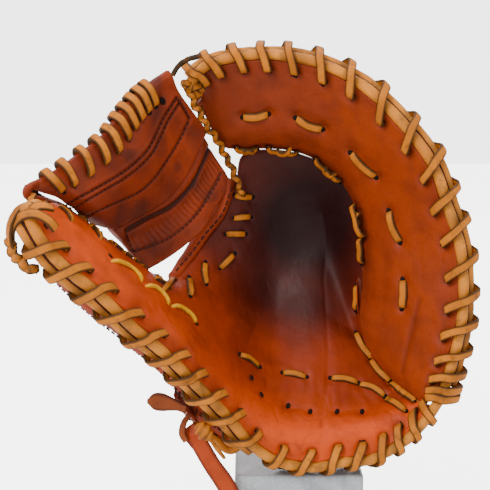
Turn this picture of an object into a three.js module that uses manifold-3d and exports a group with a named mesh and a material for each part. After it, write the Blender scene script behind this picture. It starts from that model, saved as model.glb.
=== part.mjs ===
// A first baseman mitt, worn on the left hand, standing on its heel on a plain block.
// Millimetres, +Z up, X to the right, Y away from the viewer. The origin is the centre of the block's base.
import * as THREE from 'three';
import { mergeVertices } from 'three/addons/utils/BufferGeometryUtils.js';
import Module from 'manifold-3d';

const wasm = await Module();
wasm.setup();

// Sizes of the whole mitt, which the share tables below follow
const MITT_WIDTH = 280;
const MITT_HEIGHT = 290;
const BOWL_DEPTH = 160;

// The block under the heel
const STAND_WIDTH = 88;
const STAND_DEPTH = 96;
const STAND_HEIGHT = 58;

// Leather
const PALM_PADDING = 12;
const FINGER_PADDING = 12;
const BACK_WALL = 3;
const BACK_RISE = 34;
const WEB_ROLL = 10;
const LINING_WALL = 2;
const CLEARANCE = 0.3;
const BACK_SEAT = Math.max(PALM_PADDING, FINGER_PADDING) * 0.69 + CLEARANCE;

// Bindings, the rolls that run round the rim: one in front, one behind it
const BINDING_RADIUS = 3.5;
const BINDING_SIDES = 6;
const BINDING_OUT = BINDING_RADIUS + CLEARANCE;
const FRONT_DEPTH = BINDING_RADIUS * 0.7;
const BACK_DEPTH = FRONT_DEPTH + BINDING_RADIUS * 2 + CLEARANCE;

// Laces
const LACE_WIDTH = 6;
const LACE_THICKNESS = 2.2;
const LACE_GAP = 0.9;
const LACE_REACH = LACE_THICKNESS / 2 + LACE_GAP;
const LACE_INSET = 7;
const LACE_BAND = 12;
const BAR_INSET = 17;
const SLOT_CLEARANCE = 1.5;

// The strap at the wrist
const STRAP_WIDTH = 16;
const STRAP_THICKNESS = 2.4;

// Palm, thumb and heel: rows run from the thumb tip down the thumb's rim and along the heel to the
// right-hand junction. Columns run from the rim across the padded crest and crease to the inner edge.
// Every point is [x, y, z] in percent of the mitt's width, depth and height. Full is how full the
// padding is there.
const PALM = [
  { full: 0.45, rim: [-57, -69, 65], crest: [-56.5, -62.5, 66], crease: [-56, -56, 66],
    pocket: [-55.5, -50, 66], edge: [-55, -44, 65.5] },
  { full: 0.5, rim: [-53.5, -70, 59.5], crest: [-52, -62, 60.5], crease: [-51, -52.5, 61],
    pocket: [-50.5, -43, 61.5], edge: [-50.5, -34, 61.5] },
  { full: 0.6, rim: [-49, -69, 54.5], crest: [-46.5, -59.5, 55.5], crease: [-45, -48, 56],
    pocket: [-44.5, -36, 56], edge: [-45, -25, 55.5] },
  { full: 0.75, rim: [-43, -65, 49], crest: [-40.5, -55.5, 49.5], crease: [-39, -44, 50.5],
    pocket: [-38, -30, 50], edge: [-39, -16, 49.5] },
  { full: 0.85, rim: [-36.5, -60, 41.5], crest: [-34, -52, 42.5], crease: [-31.5, -39.5, 43.5],
    pocket: [-30.5, -22.5, 44], edge: [-32, -6, 44] },
  { full: 0.95, rim: [-29.5, -54.5, 34.5], crest: [-26.5, -45.5, 36], crease: [-24.5, -30.5, 37],
    pocket: [-23.5, -7.5, 40.5], edge: [-27, 6, 47] },
  { full: 1, rim: [-23, -48, 26.5], crest: [-20, -38, 27.5], crease: [-17.5, -21, 30],
    pocket: [-15, 7.5, 37], edge: [-22.5, 14, 52.5] },
  { full: 1, rim: [-16.5, -42, 18.5], crest: [-14.5, -34, 20.5], crease: [-12, -14, 24],
    pocket: [-10, 17.5, 36], edge: [-18, 17.5, 58] },
  { full: 1, rim: [-10.5, -37.5, 10.5], crest: [-9.5, -30.5, 15], crease: [-7, -11, 20],
    pocket: [-6, 25, 39], edge: [-15, 19, 66.5] },
  { full: 1, rim: [-4.5, -35, 6], crest: [-4, -30, 11.5], crease: [-2, -10, 18.5],
    pocket: [-2.5, 28.5, 44], edge: [-13, 19, 73] },
  { full: 1, rim: [3, -34, 4.5], crest: [3, -28.5, 10.5], crease: [4.5, -10, 18.5],
    pocket: [1.5, 30.5, 47.5], edge: [-3, 20.5, 73.5] },
  { full: 1, rim: [10, -33, 5.5], crest: [10, -28, 11], crease: [10, -10, 18],
    pocket: [6.5, 29.5, 47.5], edge: [7, 20, 70] },
  { full: 1, rim: [16.5, -32.5, 6], crest: [16, -27, 12], crease: [15, -10, 17],
    pocket: [11, 25, 41.5], edge: [14, 17.5, 62.5] },
  { full: 0.95, rim: [22, -31, 8.5], crest: [21, -25, 13], crease: [19.5, -11, 16.5],
    pocket: [15.5, 12.5, 30], edge: [17, 13, 48] },
  { full: 0.8, rim: [26.5, -30.5, 12], crest: [26, -24, 15], crease: [24, -14, 16.5],
    pocket: [20.5, 1, 21.5], edge: [18, 9, 31] },
  { full: 0.6, rim: [31, -30, 17.5], crest: [29.5, -25.5, 17], crease: [27.5, -19.5, 17],
    pocket: [25.5, -12, 17.5], edge: [23, -4, 19] },
];

// The finger pad, a padded crescent: rows run from the right-hand junction up the right side and
// over the top to the finger tip. Columns run from its inner edge out to the rim.
const CRESCENT = [
  { full: 0.6, inner: [29.5, -24, 17], low: [30.5, -26, 17.5], high: [31, -28.5, 18.5],
    rim: [32, -30.5, 19] },
  { full: 0.8, inner: [25, -12.5, 18.5], low: [27.5, -19.5, 20], high: [30.5, -26, 22],
    rim: [33, -30.5, 23] },
  { full: 0.95, inner: [19.5, -4.5, 24], low: [24.5, -14, 25.5], high: [30, -23, 27],
    rim: [34.5, -30.5, 28.5] },
  { full: 1, inner: [16, 2, 32], low: [23, -9.5, 33], high: [30, -20.5, 34.5], rim: [36, -30.5, 36] },
  { full: 1, inner: [16.5, 5, 41], low: [23, -9, 42], high: [30, -20, 43], rim: [36.5, -29.5, 44] },
  { full: 1, inner: [16, 8, 53], low: [22.5, -6, 53.5], high: [29.5, -18, 53.5], rim: [35.5, -28, 54] },
  { full: 1, inner: [14, 10, 61.5], low: [20, -4, 61.5], high: [26.5, -15.5, 62], rim: [32.5, -26, 63] },
  { full: 1, inner: [10, 12, 67.5], low: [16, -0.5, 68.5], high: [22.5, -12.5, 70], rim: [29, -25, 72] },
  { full: 1, inner: [4, 13, 72], low: [9.5, 2, 73.5], high: [16.5, -10, 76.5], rim: [22.5, -21.5, 80.5] },
  { full: 1, inner: [-2.5, 13, 74], low: [2.5, 3, 77.5], high: [9, -7.5, 83], rim: [14, -17, 88.5] },
  { full: 1, inner: [-9, 12.5, 74.5], low: [-5, 3, 79.5], high: [0, -5, 86.5], rim: [4.5, -13.5, 93.5] },
  { full: 0.95, inner: [-14.5, 12, 74.5], low: [-11.5, 4, 80.5], high: [-8.5, -3, 88], rim: [-5, -10, 95.5] },
  { full: 0.85, inner: [-19, 10.5, 75.5], low: [-17.5, 4.5, 81.5], high: [-15.5, -1, 88.5],
    rim: [-13.5, -6, 95.5] },
  { full: 0.75, inner: [-22, 7.5, 80.5], low: [-21.5, 4, 84.5], high: [-21.5, 0, 89],
    rim: [-21.5, -4, 93.5] },
  { full: 0.65, inner: [-23.5, 3, 85.5], low: [-24, 2, 87], high: [-24.5, -0.5, 88.5], rim: [-25, -2.5, 90] },
];

// The web's top bar, from the thumb end to the finger end, and down from its rolled top
const WEB_BAR = [
  { top: [-59.5, -53, 69], seam: [-54.5, -42, 66], low: [-50, -27, 60] },
  { top: [-55, -46, 72], seam: [-49, -39, 66.5], low: [-45, -24, 59] },
  { top: [-49.5, -35, 76], seam: [-44, -30, 69], low: [-40, -17.5, 61] },
  { top: [-45, -26, 79.5], seam: [-40, -21, 73], low: [-36, -10, 63] },
  { top: [-41.5, -19.5, 84.5], seam: [-36.5, -14.5, 78], low: [-31.5, -3, 66.5] },
  { top: [-38, -14, 88.5], seam: [-34, -9.5, 82.5], low: [-28, 2, 71.5] },
  { top: [-34.5, -9, 91], seam: [-32, -5.5, 87], low: [-25.5, 5, 76.5] },
  { top: [-31, -4, 93.5], seam: [-29, -2, 88.5], low: [-23.5, 6, 80.5] },
];

// The web's inner panel, the same way round
const WEB_PANEL = [
  { top: [-44.5, -20, 58], groove: [-42.5, -17.5, 55], seam: [-40.5, -15, 52], low: [-38, -12.5, 48.5] },
  { top: [-40, -12.5, 60], groove: [-37.5, -10, 57], seam: [-35, -7, 53], low: [-33, -5, 50.5] },
  { top: [-35.5, -5, 62], groove: [-33, -2.5, 59], seam: [-30, 0, 55.5], low: [-28, 2, 53.5] },
  { top: [-31.5, 0, 65], groove: [-29, 2.5, 62], seam: [-26, 5, 59], low: [-24, 6, 57] },
  { top: [-28, 4.5, 69], groove: [-26, 7, 66], seam: [-23, 9.5, 62.5], low: [-21.5, 10.5, 61] },
  { top: [-26, 7.5, 73], groove: [-23.5, 10, 70], seam: [-21, 12.5, 66.5], low: [-19, 14, 64.5] },
  { top: [-24, 9.5, 78.5], groove: [-22, 12, 75.5], seam: [-19, 14.5, 70.5], low: [-17.5, 15.5, 68] },
];

// Sections across the sheets: t runs over the columns, and front and back are the two faces'
// depths behind the table's surface, in shares of the piece's thickness
const PALM_SECTION = [
  { t: 0, front: 0.04, back: 0.38 },
  { t: 0.12, front: 0, back: 0.46 },
  { t: 0.25, front: 0, back: 0.9 },
  { t: 0.38, front: 0, back: 0.9 },
  { t: 0.52, front: 0, back: 0.64 },
  { t: 0.68, front: 0, back: 0.53 },
  { t: 0.85, front: 0, back: 0.46 },
  { t: 1, front: 0.04, back: 0.4 },
];
const FINGER_SECTION = [
  { t: 0, front: 0.08, back: 0.52 },
  { t: 0.15, front: 0, back: 0.66 },
  { t: 0.4, front: 0, back: 0.92 },
  { t: 0.66, front: 0, back: 0.68 },
  { t: 0.86, front: 0, back: 0.44 },
  { t: 1, front: 0.04, back: 0.38 },
];
const BAR_SECTION = [
  { t: 0, front: 0.25, back: 0.7 },
  { t: 0.05, front: 0.02, back: 0.96 },
  { t: 0.2, front: 0, back: 0.98 },
  { t: 0.4, front: 0.06, back: 0.7 },
  { t: 0.7, front: 0, back: 0.5 },
  { t: 1, front: 0.04, back: 0.46 },
];
const INNER_SECTION = [
  { t: 0, front: 0.3, back: 0.8 },
  { t: 0.12, front: 0, back: 1 },
  { t: 0.3, front: 0.1, back: 0.9 },
  { t: 0.4, front: 0.3, back: 0.7 },
  { t: 0.7, front: 0.15, back: 0.6 },
  { t: 1, front: 0.2, back: 0.6 },
];

// The thumb's back: for each row, how far it reaches over the palm's columns, and how high its
// bulge by the rim, its top and its far edge stand behind the front panel, in shares of the rise
const THUMB_BACK = [
  { s: 0.15, reach: 0.95, bulge: 0.45, top: 0.56, far: 0.27 },
  { s: 1, reach: 0.95, bulge: 0.62, top: 0.75, far: 0.25 },
  { s: 2, reach: 0.95, bulge: 0.76, top: 0.9, far: 0.25 },
  { s: 3, reach: 0.95, bulge: 0.8, top: 1, far: 0.25 },
  { s: 4, reach: 0.92, bulge: 0.8, top: 1.05, far: 0.3 },
  { s: 5, reach: 0.8, bulge: 0.8, top: 1.1, far: 0.9 },
  { s: 6, reach: 0.6, bulge: 0.8, top: 1.1, far: 1 },
  { s: 7, reach: 0.34, bulge: 0.82, top: 1.1, far: 1.1 },
  { s: 7.7, reach: 0.16, bulge: 0.8, top: 1.05, far: 1.2 },
  { s: 8.25, reach: 0.02, bulge: 0.68, top: 0.95, far: 1.2 },
];

// The fingers' back: for each row of the crescent, the place over the palm where it ends, as a
// row and a column share there, and its heights; the last rows end at the crescent's inner edge
const FINGER_BACK = [
  { s: 1, row: 14, reach: 0.5, middle: 0.55, far: 0.8 },
  { s: 2, row: 13, reach: 0.65, middle: 0.8, far: 1 },
  { s: 3, row: 12, reach: 0.7, middle: 0.95, far: 1.1 },
  { s: 4, row: 11.3, reach: 0.72, middle: 1, far: 1.15 },
  { s: 5, row: 11, reach: 0.75, middle: 1, far: 1.1 },
  { s: 6, row: 11.3, reach: 0.85, middle: 0.95, far: 0.8 },
  { s: 7, row: 11.6, reach: 0.97, middle: 0.9, far: 0.5 },
  { s: 8, row: 0, reach: 0.04, middle: 0.85, far: 0.25 },
  { s: 9, row: 0, reach: 0.04, middle: 0.8, far: 0.25 },
  { s: 10, row: 0, reach: 0.04, middle: 0.75, far: 0.25 },
  { s: 11, row: 0, reach: 0.04, middle: 0.65, far: 0.25 },
  { s: 12, row: 0, reach: 0.04, middle: 0.6, far: 0.25 },
  { s: 13, row: 0, reach: 0.04, middle: 0.52, far: 0.25 },
  { s: 13.8, row: 0, reach: 0.04, middle: 0.46, far: 0.25 },
];

// Where the laces pass through, as row positions along each rim
const THUMB_HOLES = [0.55, 1.4, 2.3, 3.1, 3.9, 4.6, 5.3, 5.9, 6.6, 7.3, 8.05];
const HEEL_HOLES = [9.1, 10, 10.9, 11.8, 12.7, 13.5, 14.4];
const FINGER_HOLES = [
  0.5, 1.1, 1.9, 2.7, 3.5, 4.3, 5.1, 5.9, 6.7, 7.5, 8.3, 9.1, 9.8, 10.5, 11.2, 11.9, 12.6, 13.3,
];
const BAR_HOLES = [0.6, 1.1, 1.7, 2.35, 2.95, 3.5, 3.95, 4.4, 4.85, 5.3, 5.75];

// A lace's way round the double rim: out beyond the panel's edge, back behind the panel's face, and
// the direction its outer face looks. One turn goes from a front hole over both rolls to a back hole.
const OVER_FRONT = FRONT_DEPTH - BINDING_RADIUS - LACE_REACH;
const OVER_BACK = BACK_DEPTH + BINDING_RADIUS + LACE_REACH;
const BEHIND_BACK = BACK_SEAT + BACK_WALL + LACE_REACH;
const AROUND = BINDING_RADIUS + LACE_REACH;
const RIM_TURN = [
  { share: 0, out: -LACE_INSET, back: -LACE_REACH, lookOut: -0.6, lookBack: -0.8 },
  { share: 0.1, out: -LACE_INSET / 2, back: OVER_FRONT, lookOut: 0, lookBack: -1 },
  { share: 0.28, out: BINDING_OUT, back: OVER_FRONT, lookOut: 0.2, lookBack: -1 },
  { share: 0.42,
    out: BINDING_OUT + AROUND, back: FRONT_DEPTH - BINDING_RADIUS, lookOut: 0.9, lookBack: -0.5 },
  { share: 0.58, out: BINDING_OUT + AROUND, back: BACK_DEPTH + BINDING_RADIUS, lookOut: 0.9, lookBack: 0.5 },
  { share: 0.72, out: BINDING_OUT, back: OVER_BACK, lookOut: 0.2, lookBack: 1 },
  { share: 0.9, out: -LACE_INSET / 2, back: OVER_BACK, lookOut: 0, lookBack: 1 },
  { share: 1, out: -LACE_INSET, back: BEHIND_BACK, lookOut: -0.6, lookBack: 0.8 },
];
// The same over the single roll of the heel
const SLANT = AROUND * Math.SQRT1_2;
const HEEL_TURN = [
  { share: 0, out: -LACE_INSET, back: -LACE_REACH, lookOut: -0.6, lookBack: -0.8 },
  { share: 0.12, out: -LACE_INSET / 2, back: OVER_FRONT, lookOut: 0, lookBack: -1 },
  { share: 0.32, out: BINDING_OUT, back: OVER_FRONT, lookOut: 0.2, lookBack: -1 },
  { share: 0.4, out: BINDING_OUT + SLANT, back: FRONT_DEPTH - SLANT, lookOut: 0.8, lookBack: -0.8 },
  { share: 0.5, out: BINDING_OUT + AROUND, back: FRONT_DEPTH, lookOut: 1, lookBack: 0 },
  { share: 0.6, out: BINDING_OUT + SLANT, back: FRONT_DEPTH + SLANT, lookOut: 0.8, lookBack: 0.8 },
  { share: 0.68, out: BINDING_OUT, back: FRONT_DEPTH + AROUND, lookOut: 0.2, lookBack: 1 },
  { share: 1, out: -LACE_INSET, back: FRONT_DEPTH + AROUND, lookOut: -0.6, lookBack: 0.8 },
];
// And over the web bar's rolled top
const OVER_ROLL = WEB_ROLL + LACE_REACH;
const BAR_TURN = [
  { share: 0, out: -BAR_INSET, back: -LACE_REACH, lookOut: -0.6, lookBack: -0.8 },
  { share: 0.2, out: -BAR_INSET / 2, back: -LACE_REACH - LACE_GAP, lookOut: 0, lookBack: -1 },
  { share: 0.38, out: 0, back: -LACE_REACH, lookOut: 0.5, lookBack: -0.9 },
  { share: 0.5, out: LACE_REACH * 2, back: WEB_ROLL / 2, lookOut: 1, lookBack: 0 },
  { share: 0.62, out: 0, back: OVER_ROLL, lookOut: 0.5, lookBack: 0.9 },
  { share: 0.8, out: -BAR_INSET / 2, back: OVER_ROLL + LACE_GAP, lookOut: 0, lookBack: 1 },
  { share: 1, out: -BAR_INSET, back: OVER_ROLL - LACE_GAP, lookOut: -0.6, lookBack: 0.8 },
];

// Laces and strap pieces that follow no rim: hand-chosen points in the same percent, and how thick
// each is there, as a share of the lace's or strap's width
const FINGER_EDGE_LACE = [
  { at: [-27.5, -11, 91], thick: 0.9 },
  { at: [-26.5, -8.5, 89.5], thick: 1.1 },
  { at: [-26, -6.5, 87.5], thick: 0.55 },
  { at: [-25.2, -4.5, 85.5], thick: 1 },
  { at: [-24, -2, 83.5], thick: 0.55 },
  { at: [-22.6, 0.5, 80.5], thick: 1 },
  { at: [-21.5, 3, 79], thick: 0.55 },
  { at: [-20, 5.5, 77], thick: 0.95 },
  { at: [-18.6, 9, 74], thick: 0.55 },
  { at: [-16.8, 12.5, 70.5], thick: 0.55 },
  { at: [-15.4, 14, 67], thick: 0.9 },
  { at: [-13.8, 16, 63], thick: 0.55 },
];
const FINGER_TIP_LACE = [
  { at: [-30.5, -8, 92.5], thick: 0.6 },
  { at: [-29, -9, 94.6], thick: 0.6 },
  { at: [-26.8, -11.5, 96], thick: 0.6 },
  { at: [-24, -13, 96.8], thick: 0.6 },
];
const THUMB_TIP_LACE = [
  { at: [-55, -58, 68.5], thick: 0.6 },
  { at: [-58, -68, 68.5], thick: 0.6 },
  { at: [-61, -74, 67], thick: 0.6 },
  { at: [-62.5, -72, 63], thick: 0.6 },
  { at: [-62.8, -68, 59.5], thick: 0.6 },
  { at: [-62.4, -66, 56.5], thick: 1.2 },
  { at: [-60.5, -66, 54], thick: 0.6 },
];
const STRAP_TAIL = [
  { at: [-27, -30, 12], wide: 0.75 },
  { at: [-25.6, -32, 10.2], wide: 0.75 },
  { at: [-23.8, -33, 8], wide: 0.75 },
  { at: [-21.2, -35, 4], wide: 0.75 },
  { at: [-18.6, -35.5, 0.3], wide: 0.8 },
  { at: [-16.9, -36, -2.6], wide: 0.8 },
  { at: [-15.2, -36, -6], wide: 0.75 },
];
const STRAP_TONGUE = [
  { at: [-36.6, -31, 18.4], wide: 0.15 },
  { at: [-35, -31, 18.4], wide: 0.7 },
  { at: [-33, -31, 18.2], wide: 0.78 },
  { at: [-31, -31.5, 17.9], wide: 0.6 },
  { at: [-29, -32, 17.4], wide: 0.4 },
  { at: [-27.2, -33, 16.8], wide: 0.36 },
];
const STRAP_LOOP = [
  { at: [-26.5, -31.5, 15.4], wide: 0.2 },
  { at: [-27.8, -33, 13.6], wide: 0.26 },
  { at: [-28.2, -33.5, 11.2], wide: 0.3 },
  { at: [-27.2, -34.5, 9.4], wide: 0.26 },
];
const STRAP_KNOT = [
  { at: [-24, -42, 15.3], thick: 1 },
  { at: [-23.2, -43, 14.3], thick: 1.6 },
  { at: [-22.3, -43, 12.8], thick: 1.5 },
  { at: [-21.4, -42, 11.5], thick: 0.5 },
  { at: [-19.6, -41.5, 9], thick: 0.5 },
  { at: [-18, -41, 6.8], thick: 0.4 },
];

// A point of a share table in millimetres
const place = ([x, y, z]) => new THREE.Vector3(
  (x * MITT_WIDTH) / 100,
  (y * BOWL_DEPTH) / 100,
  STAND_HEIGHT + (z * MITT_HEIGHT) / 100,
);

// A smooth curve through points, at a position counted in points
function along(points, position) {
  const last = points.length - 1;
  const i = Math.min(Math.max(Math.floor(position), 0), last - 1);
  const f = position - i;
  const b = points[i];
  const c = points[i + 1];
  const a = points[i - 1] ?? b.clone().multiplyScalar(2).sub(c);
  const d = points[i + 2] ?? c.clone().multiplyScalar(2).sub(b);
  const blend = (p, q, r, s) => 0.5 * (2 * q + (r - p) * f + (2 * p - 5 * q + 4 * r - s) * f * f
    + (3 * q - p - 3 * r + s) * f * f * f);
  return new THREE.Vector3(blend(a.x, b.x, c.x, d.x), blend(a.y, b.y, c.y, d.y), blend(a.z, b.z, c.z, d.z));
}

// A value of a table's column, between its rows
function between(rows, name, position) {
  const i = Math.min(Math.max(Math.floor(position), 0), rows.length - 2);
  return THREE.MathUtils.lerp(rows[i][name], rows[i + 1][name], position - i);
}

// Evenly spread positions from one value to another
const spread = (from, to, steps) => Array.from(
  { length: steps + 1 },
  (_, i) => from + ((to - from) * i) / steps,
);

// How far apart the points are, in rows and columns, that a surface's directions are read from
const ROW_STEP = 0.1;
const COLUMN_STEP = 0.02;

// A smooth leather surface through a share table. Its back is the side away from the pocket.
class Sheet {
  constructor(rows, columns, turn, rimShare) {
    this.net = rows.map((row) => columns.map((name) => place(row[name])));
    this.turn = turn;
    this.rimShare = rimShare;
  }

  point(s, t) {
    const row = this.net.map((points) => along(points, t * (points.length - 1)));
    return along(row, s);
  }

  step(s, t, ds, dt) {
    return this.point(s + ds, t + dt).sub(this.point(s - ds, t - dt));
  }

  back(s, t) {
    const rise = this.step(s, t, ROW_STEP, 0);
    const cross = this.step(s, t, 0, COLUMN_STEP);
    return cross.cross(rise).multiplyScalar(this.turn).normalize();
  }

  // A point behind the surface by a depth
  behind(s, t, depth) {
    return this.point(s, t).addScaledVector(this.back(s, t), depth);
  }

  // Directions at an edge: out beyond it, and back
  edge(s, share) {
    const reach = this.step(s, share, 0, COLUMN_STEP).divideScalar(2 * COLUMN_STEP);
    const tangent = this.step(s, share, ROW_STEP, 0).normalize();
    const out = reach.clone().multiplyScalar(share > 0.5 ? 1 : -1);
    out.addScaledVector(tangent, -out.dot(tangent)).normalize();
    return { reach: reach.length(), out, back: this.back(s, share) };
  }

  // A point beside an edge: out beyond it, or in over the panel where out is negative
  beside(s, share, out, depth) {
    const edge = this.edge(s, share);
    if (out < 0) {
      const inward = (share > 0.5 ? out : -out) / edge.reach;
      return this.behind(s, share + inward, depth);
    }
    return this.point(s, share).addScaledVector(edge.out, out).addScaledVector(edge.back, depth);
  }

  near(s, out, depth) {
    return this.beside(s, this.rimShare, out, depth);
  }

  rim(s) {
    return this.edge(s, this.rimShare);
  }
}

// A closed body from its vertices and faces, turned so that its faces look out
function body(vertices, faces) {
  let volume = 0;
  for (const [a, b, c] of faces) {
    volume += vertices[a].dot(vertices[b].clone().cross(vertices[c]));
  }
  const index = faces.flatMap(([a, b, c]) => (volume < 0 ? [a, c, b] : [a, b, c]));
  const geometry = new THREE.BufferGeometry().setFromPoints(vertices);
  geometry.setIndex(index);
  geometry.computeVertexNormals();
  return geometry;
}

// A wall between two grids of points of the same size
function wall(front, back) {
  const rows = front.length;
  const columns = front[0].length;
  const vertices = [...front.flat(), ...back.flat()];
  const at = (side, i, j) => side * rows * columns + i * columns + j;
  const faces = [];
  const apart = (a, b) => vertices[a].distanceTo(vertices[b]);
  const quad = (a, b, c, d) => {
    const halves = apart(a, c) < apart(b, d) ? [[a, b, c], [a, c, d]] : [[a, b, d], [b, c, d]];
    faces.push(...halves);
  };
  for (let i = 0; i < rows - 1; i += 1) {
    for (let j = 0; j < columns - 1; j += 1) {
      quad(at(0, i, j), at(0, i, j + 1), at(0, i + 1, j + 1), at(0, i + 1, j));
      quad(at(1, i, j), at(1, i + 1, j), at(1, i + 1, j + 1), at(1, i, j + 1));
    }
    quad(at(0, i, 0), at(0, i + 1, 0), at(1, i + 1, 0), at(1, i, 0));
    quad(at(0, i + 1, columns - 1), at(0, i, columns - 1), at(1, i, columns - 1), at(1, i + 1, columns - 1));
  }
  for (let j = 0; j < columns - 1; j += 1) {
    quad(at(0, 0, j + 1), at(0, 0, j), at(1, 0, j), at(1, 0, j + 1));
    quad(at(0, rows - 1, j), at(0, rows - 1, j + 1), at(1, rows - 1, j + 1), at(1, rows - 1, j));
  }
  return body(vertices, faces);
}

// A padded panel on a sheet, with its section's faces at shares of the thickness at each row
function panel(sheet, rows, section, thickness) {
  const face = (side) => rows.map((s) => section.map(
    (cut) => sheet.behind(s, cut.t, cut[side] * thickness(s)),
  ));
  return wall(face('front'), face('back'));
}

// A grid moved away from a sheet's front by an even thickness
function outer(inside, thickness) {
  const hold = (value, count) => Math.min(Math.max(value, 0), count - 1);
  const pick = (i, j) => inside[hold(i, inside.length)][hold(j, inside[0].length)];
  return inside.map((row, i) => row.map((point, j) => {
    const rise = pick(i + 1, j).clone().sub(pick(i - 1, j));
    const cross = pick(i, j + 1).clone().sub(pick(i, j - 1));
    return point.clone().addScaledVector(cross.cross(rise).normalize(), thickness);
  }));
}

// A round roll along points
function roll(points, radius, steps) {
  const section = new THREE.Shape().absarc(0, 0, radius, 0, Math.PI * 2);
  const path = new THREE.CatmullRomCurve3(points, false, 'centripetal');
  const options = { steps, curveSegments: BINDING_SIDES / 2, extrudePath: path, bevelEnabled: false };
  return new THREE.ExtrudeGeometry(section, options);
}

// A flat lace or strap along points, whose outer face looks the way given at each point
function ribbon(stops, width, thickness) {
  const vertices = [];
  stops.forEach((stop, i) => {
    const before = stops[Math.max(i - 1, 0)].point;
    const after = stops[Math.min(i + 1, stops.length - 1)].point;
    const ahead = after.clone().sub(before).normalize();
    const side = ahead.clone().cross(stop.look).normalize().multiplyScalar((width * (stop.wide ?? 1)) / 2);
    const up = side.clone().cross(ahead).normalize().multiplyScalar(thickness / 2);
    for (const [a, b] of [[-1, -1], [1, -1], [1, 1], [-1, 1]]) {
      vertices.push(stop.point.clone().addScaledVector(side, a).addScaledVector(up, b));
    }
  });
  const faces = [[0, 1, 2], [0, 2, 3]];
  const end = (stops.length - 1) * 4;
  faces.push([end, end + 2, end + 1], [end, end + 3, end + 2]);
  for (let i = 0; i < stops.length - 1; i += 1) {
    for (let k = 0; k < 4; k += 1) {
      const a = i * 4 + k;
      const b = i * 4 + ((k + 1) % 4);
      faces.push([a, a + 4, b], [b, a + 4, b + 4]);
    }
  }
  return body(vertices, faces);
}

// A round lace whose thickness changes along it, as at its knots
function knotted(stops, width) {
  const sides = 5;
  const points = stops.map((stop) => stop.point);
  const vertices = [];
  stops.forEach((stop, i) => {
    const before = points[Math.max(i - 1, 0)];
    const after = points[Math.min(i + 1, points.length - 1)];
    const ahead = after.clone().sub(before).normalize();
    const side = ahead.clone().cross(new THREE.Vector3(0, -1, 0)).normalize();
    const up = side.clone().cross(ahead);
    for (let k = 0; k < sides; k += 1) {
      const turn = (k / sides) * Math.PI * 2;
      const reach = (stop.thick * width) / 2;
      vertices.push(stop.point.clone()
        .addScaledVector(side, Math.cos(turn) * reach)
        .addScaledVector(up, Math.sin(turn) * reach));
    }
  });
  const faces = [];
  const end = (stops.length - 1) * sides;
  for (let k = 1; k < sides - 1; k += 1) {
    faces.push([0, k, k + 1], [end, end + k + 1, end + k]);
  }
  for (let i = 0; i < stops.length - 1; i += 1) {
    for (let k = 0; k < sides; k += 1) {
      const a = i * sides + k;
      const b = i * sides + ((k + 1) % sides);
      faces.push([a, a + sides, b], [b, a + sides, b + sides]);
    }
  }
  return body(vertices, faces);
}

// A lace wound round a sheet's rim through its holes
function winding(sheet, holes, turn) {
  const stops = [];
  for (let i = 0; i < holes.length - 1; i += 1) {
    for (const stop of turn) {
      const s = THREE.MathUtils.lerp(holes[i], holes[i + 1], stop.share);
      const rim = sheet.rim(s);
      const look = rim.out.clone().multiplyScalar(stop.lookOut).addScaledVector(rim.back, stop.lookBack);
      stops.push({ point: sheet.near(s, stop.out, stop.back), look });
    }
  }
  return ribbon(stops, LACE_WIDTH, LACE_THICKNESS);
}

// The slots that a lace passes through: one box at each hole
function slots(sheet, holes, out, deep) {
  return holes.map((s) => {
    const box = new THREE.BoxGeometry(
      LACE_WIDTH + SLOT_CLEARANCE,
      LACE_THICKNESS + SLOT_CLEARANCE,
      deep * 2,
    );
    const middle = sheet.near(s, out, deep / 2);
    const back = sheet.near(s, out, deep).sub(middle).normalize();
    const tangent = sheet.near(s + 0.05, out, 0).sub(sheet.near(s - 0.05, out, 0));
    tangent.addScaledVector(back, -tangent.dot(back)).normalize();
    const across = back.clone().cross(tangent);
    box.applyMatrix4(new THREE.Matrix4().makeBasis(tangent, across, back).setPosition(middle));
    return box;
  });
}

// A body as a solid that can be cut
function solid(geometry) {
  const plain = geometry.clone();
  plain.deleteAttribute('normal');
  plain.deleteAttribute('uv');
  const merged = mergeVertices(plain, 1e-4);
  return new wasm.Manifold(new wasm.Mesh({
    numProp: 3,
    vertProperties: merged.attributes.position.array,
    triVerts: new Uint32Array(merged.index.array),
  }));
}

// A body with others cut out of it
function cut(geometry, tools) {
  const left = tools.reduce((rest, tool) => rest.subtract(solid(tool)), solid(geometry)).getMesh();
  const result = new THREE.BufferGeometry();
  result.setAttribute('position', new THREE.BufferAttribute(new Float32Array(left.vertProperties), 3));
  result.setIndex(new THREE.BufferAttribute(new Uint32Array(left.triVerts), 1));
  result.computeVertexNormals();
  return result;
}

// Colours of the leathers
const leather = (color, roughness) => new THREE.MeshStandardMaterial({ color, roughness, metalness: 0 });
const ORANGE = '#c4501f';
const BURNT = '#a8431c';
const WEB_BROWN = '#8f3a1c';
const TAN = '#c98a45';
const STRAP_RED = '#b5451f';
const DARK = '#4a2418';

const group = new THREE.Group();
function add(name, geometry, material) {
  const mesh = new THREE.Mesh(geometry, material);
  mesh.name = name;
  group.add(mesh);
}

const palm = new Sheet(PALM, ['rim', 'crest', 'crease', 'pocket', 'edge'], 1, 0);
const crescent = new Sheet(CRESCENT, ['inner', 'low', 'high', 'rim'], -1, 1);
const webBar = new Sheet(WEB_BAR, ['top', 'seam', 'low'], -1, 0);
const webPanel = new Sheet(WEB_PANEL, ['top', 'groove', 'seam', 'low'], -1, 0);

const THROUGH = BACK_SEAT + BACK_WALL + LACE_THICKNESS * 2;
const thumbSlots = slots(palm, THUMB_HOLES, -LACE_INSET, THROUGH);
const heelSlots = slots(palm, HEEL_HOLES, -LACE_INSET, THROUGH);
const fingerSlots = slots(crescent, FINGER_HOLES, -LACE_INSET, THROUGH);
const barSlots = slots(webBar, BAR_HOLES, -BAR_INSET, OVER_ROLL);

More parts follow.
